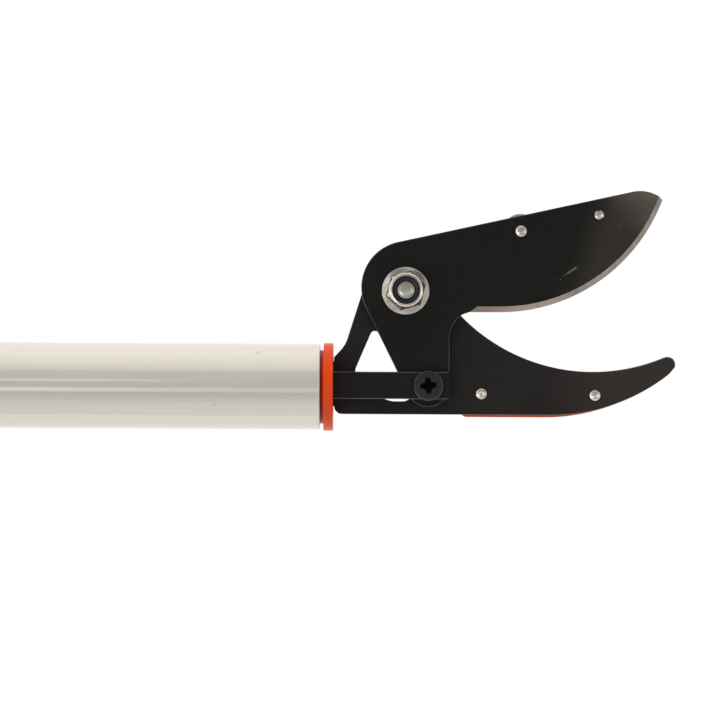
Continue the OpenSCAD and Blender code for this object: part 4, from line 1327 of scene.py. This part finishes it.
def add_floor():
    z = cad_box[0].z - FLOOR_DROP * MM
    bm = bmesh.new()
    corners = ((-9, FLOOR_FRONT), (11, FLOOR_FRONT), (11, 9), (-9, 9))
    bm.faces.new([bm.verts.new((x, y, z)) for x, y in corners])
    floor = new_object("floor", bm)
    mat = bpy.data.materials.new("floor")
    mat.use_nodes = True
    shader = Shader(mat.node_tree)
    bsdf = mat.node_tree.nodes["Principled BSDF"]
    looks = {"Base Color": (0.7, 0.7, 0.7, 1), "Roughness": 0.9, "Specular IOR Level": 0.0,
             "Emission Color": (1, 1, 1, 1), "Emission Strength": shader.times(shader.seen_directly(), 0.4)}
    for key, value in looks.items():
        shader.plug(bsdf.inputs[key], value)
    floor.data.materials.append(mat)


def add_world():
    """White studio with a darker room behind the camera: lighter low down, overhead and at its sides."""
    world = bpy.data.worlds.new("world")
    scene.world = world
    world.use_nodes = True
    sky = Shader(world.node_tree)
    seen = sky.node("TexCoord").outputs["Generated"]
    axes = sky.node("SeparateXYZ", {0: seen}).outputs
    front = sky.ramp(axes[1], 0.05, -0.2)
    level = sky.ramp(axes[2], 0.66, 0.69, DARK_ROOM, 0.5)
    for axis, start, end, gain in GLOWS:
        level = sky.calc("ADD", level, sky.ramp(axes[axis], start, end, 0.0, gain))
    for low, high, soft, gain, reach in STRIPS:
        rise = sky.ramp(axes[2], low, low + soft)
        strip = sky.times(rise, sky.ramp(axes[2], high, high - soft))
        strip = sky.times(strip, sky.ramp(axes[0], *reach))
        level = sky.calc("MULTIPLY_ADD", strip, gain, level)
    for middle, wide, gain in WINDOWS:
        inputs = {0: seen, 1: Vector(middle).normalized()}
        near = sky.node("VectorMath", inputs, operation="DOT_PRODUCT").outputs["Value"]
        edge = cos(radians(wide))
        level = sky.calc("MULTIPLY_ADD", sky.ramp(near, edge - 0.006, edge), gain, level)
    hidden = sky.calc("SUBTRACT", 1.0, sky.node("LightPath").outputs["Is Camera Ray"])
    room = sky.mix(sky.times(front, hidden), (1, 1, 1, 1), level)
    strength = sky.calc("MULTIPLY_ADD", sky.seen_directly(), 1 - ROOM_LIGHT, ROOM_LIGHT)
    background = world.node_tree.nodes["Background"]
    sky.plug(background.inputs["Color"], room)
    sky.plug(background.inputs["Strength"], strength)


def add_lamp(name, direction, strength, spread):
    data = bpy.data.lights.new(name, "SUN")
    data.energy = strength
    data.angle = radians(spread)
    lamp = bpy.data.objects.new(name, data)
    lamp.rotation_euler = Vector(direction).to_track_quat("-Z", "Y").to_euler()
    lamp.visible_glossy = False
    scene.collection.objects.link(lamp)


scene.view_settings.view_transform = "Standard"
add_camera()
add_tube()
soft_copy("end_plug", 0.35, 3, 50, [plug_mat])
add_blade()
add_hook()
add_strip()
add_pad()
add_holder()
add_drive_screw()
add_nut()
add_nut_insert()
add_bolt()
add_washer()
add_rivets("hook_rivets", (DIMPLED, SUNK))
add_rivets("blade_rivets", (DOMED, FLUSH), painted=(1,))
add_piece("rivet_spacers", turned_each("rivet_spacers", spacer_outline, closed=True))
add_screws("tang_screws", tang_outline, 64, 20, 35, 1.8, 0.4, 1.5)
add_bar("pull_rod", ALONG, 0.4)
soft_copy("rod_yoke", 0.35)
soft_copy("yoke_pin", 0.15)
add_rings("rod_guides", 2.8, 0.5)
add_rings("spring_seat", 2.8, 0.4)
add_rings("spring_collar", 2.55, 0.5)
soft_copy("rod_eye", 0.3)
add_spring()
add_handle()
add_screws("shell_screws", shell_screw_outline, 48, 15, 40, 1.5, 0.34, 1.4)
add_cap()
add_trigger()
add_bar("trigger_pin", AWAY, 0.5)
add_bar("link_pin", AWAY, 0.4)
add_floor()
add_world()
add_lamp("key", (0.35, 0.8, -1.2), 1.5, 40)
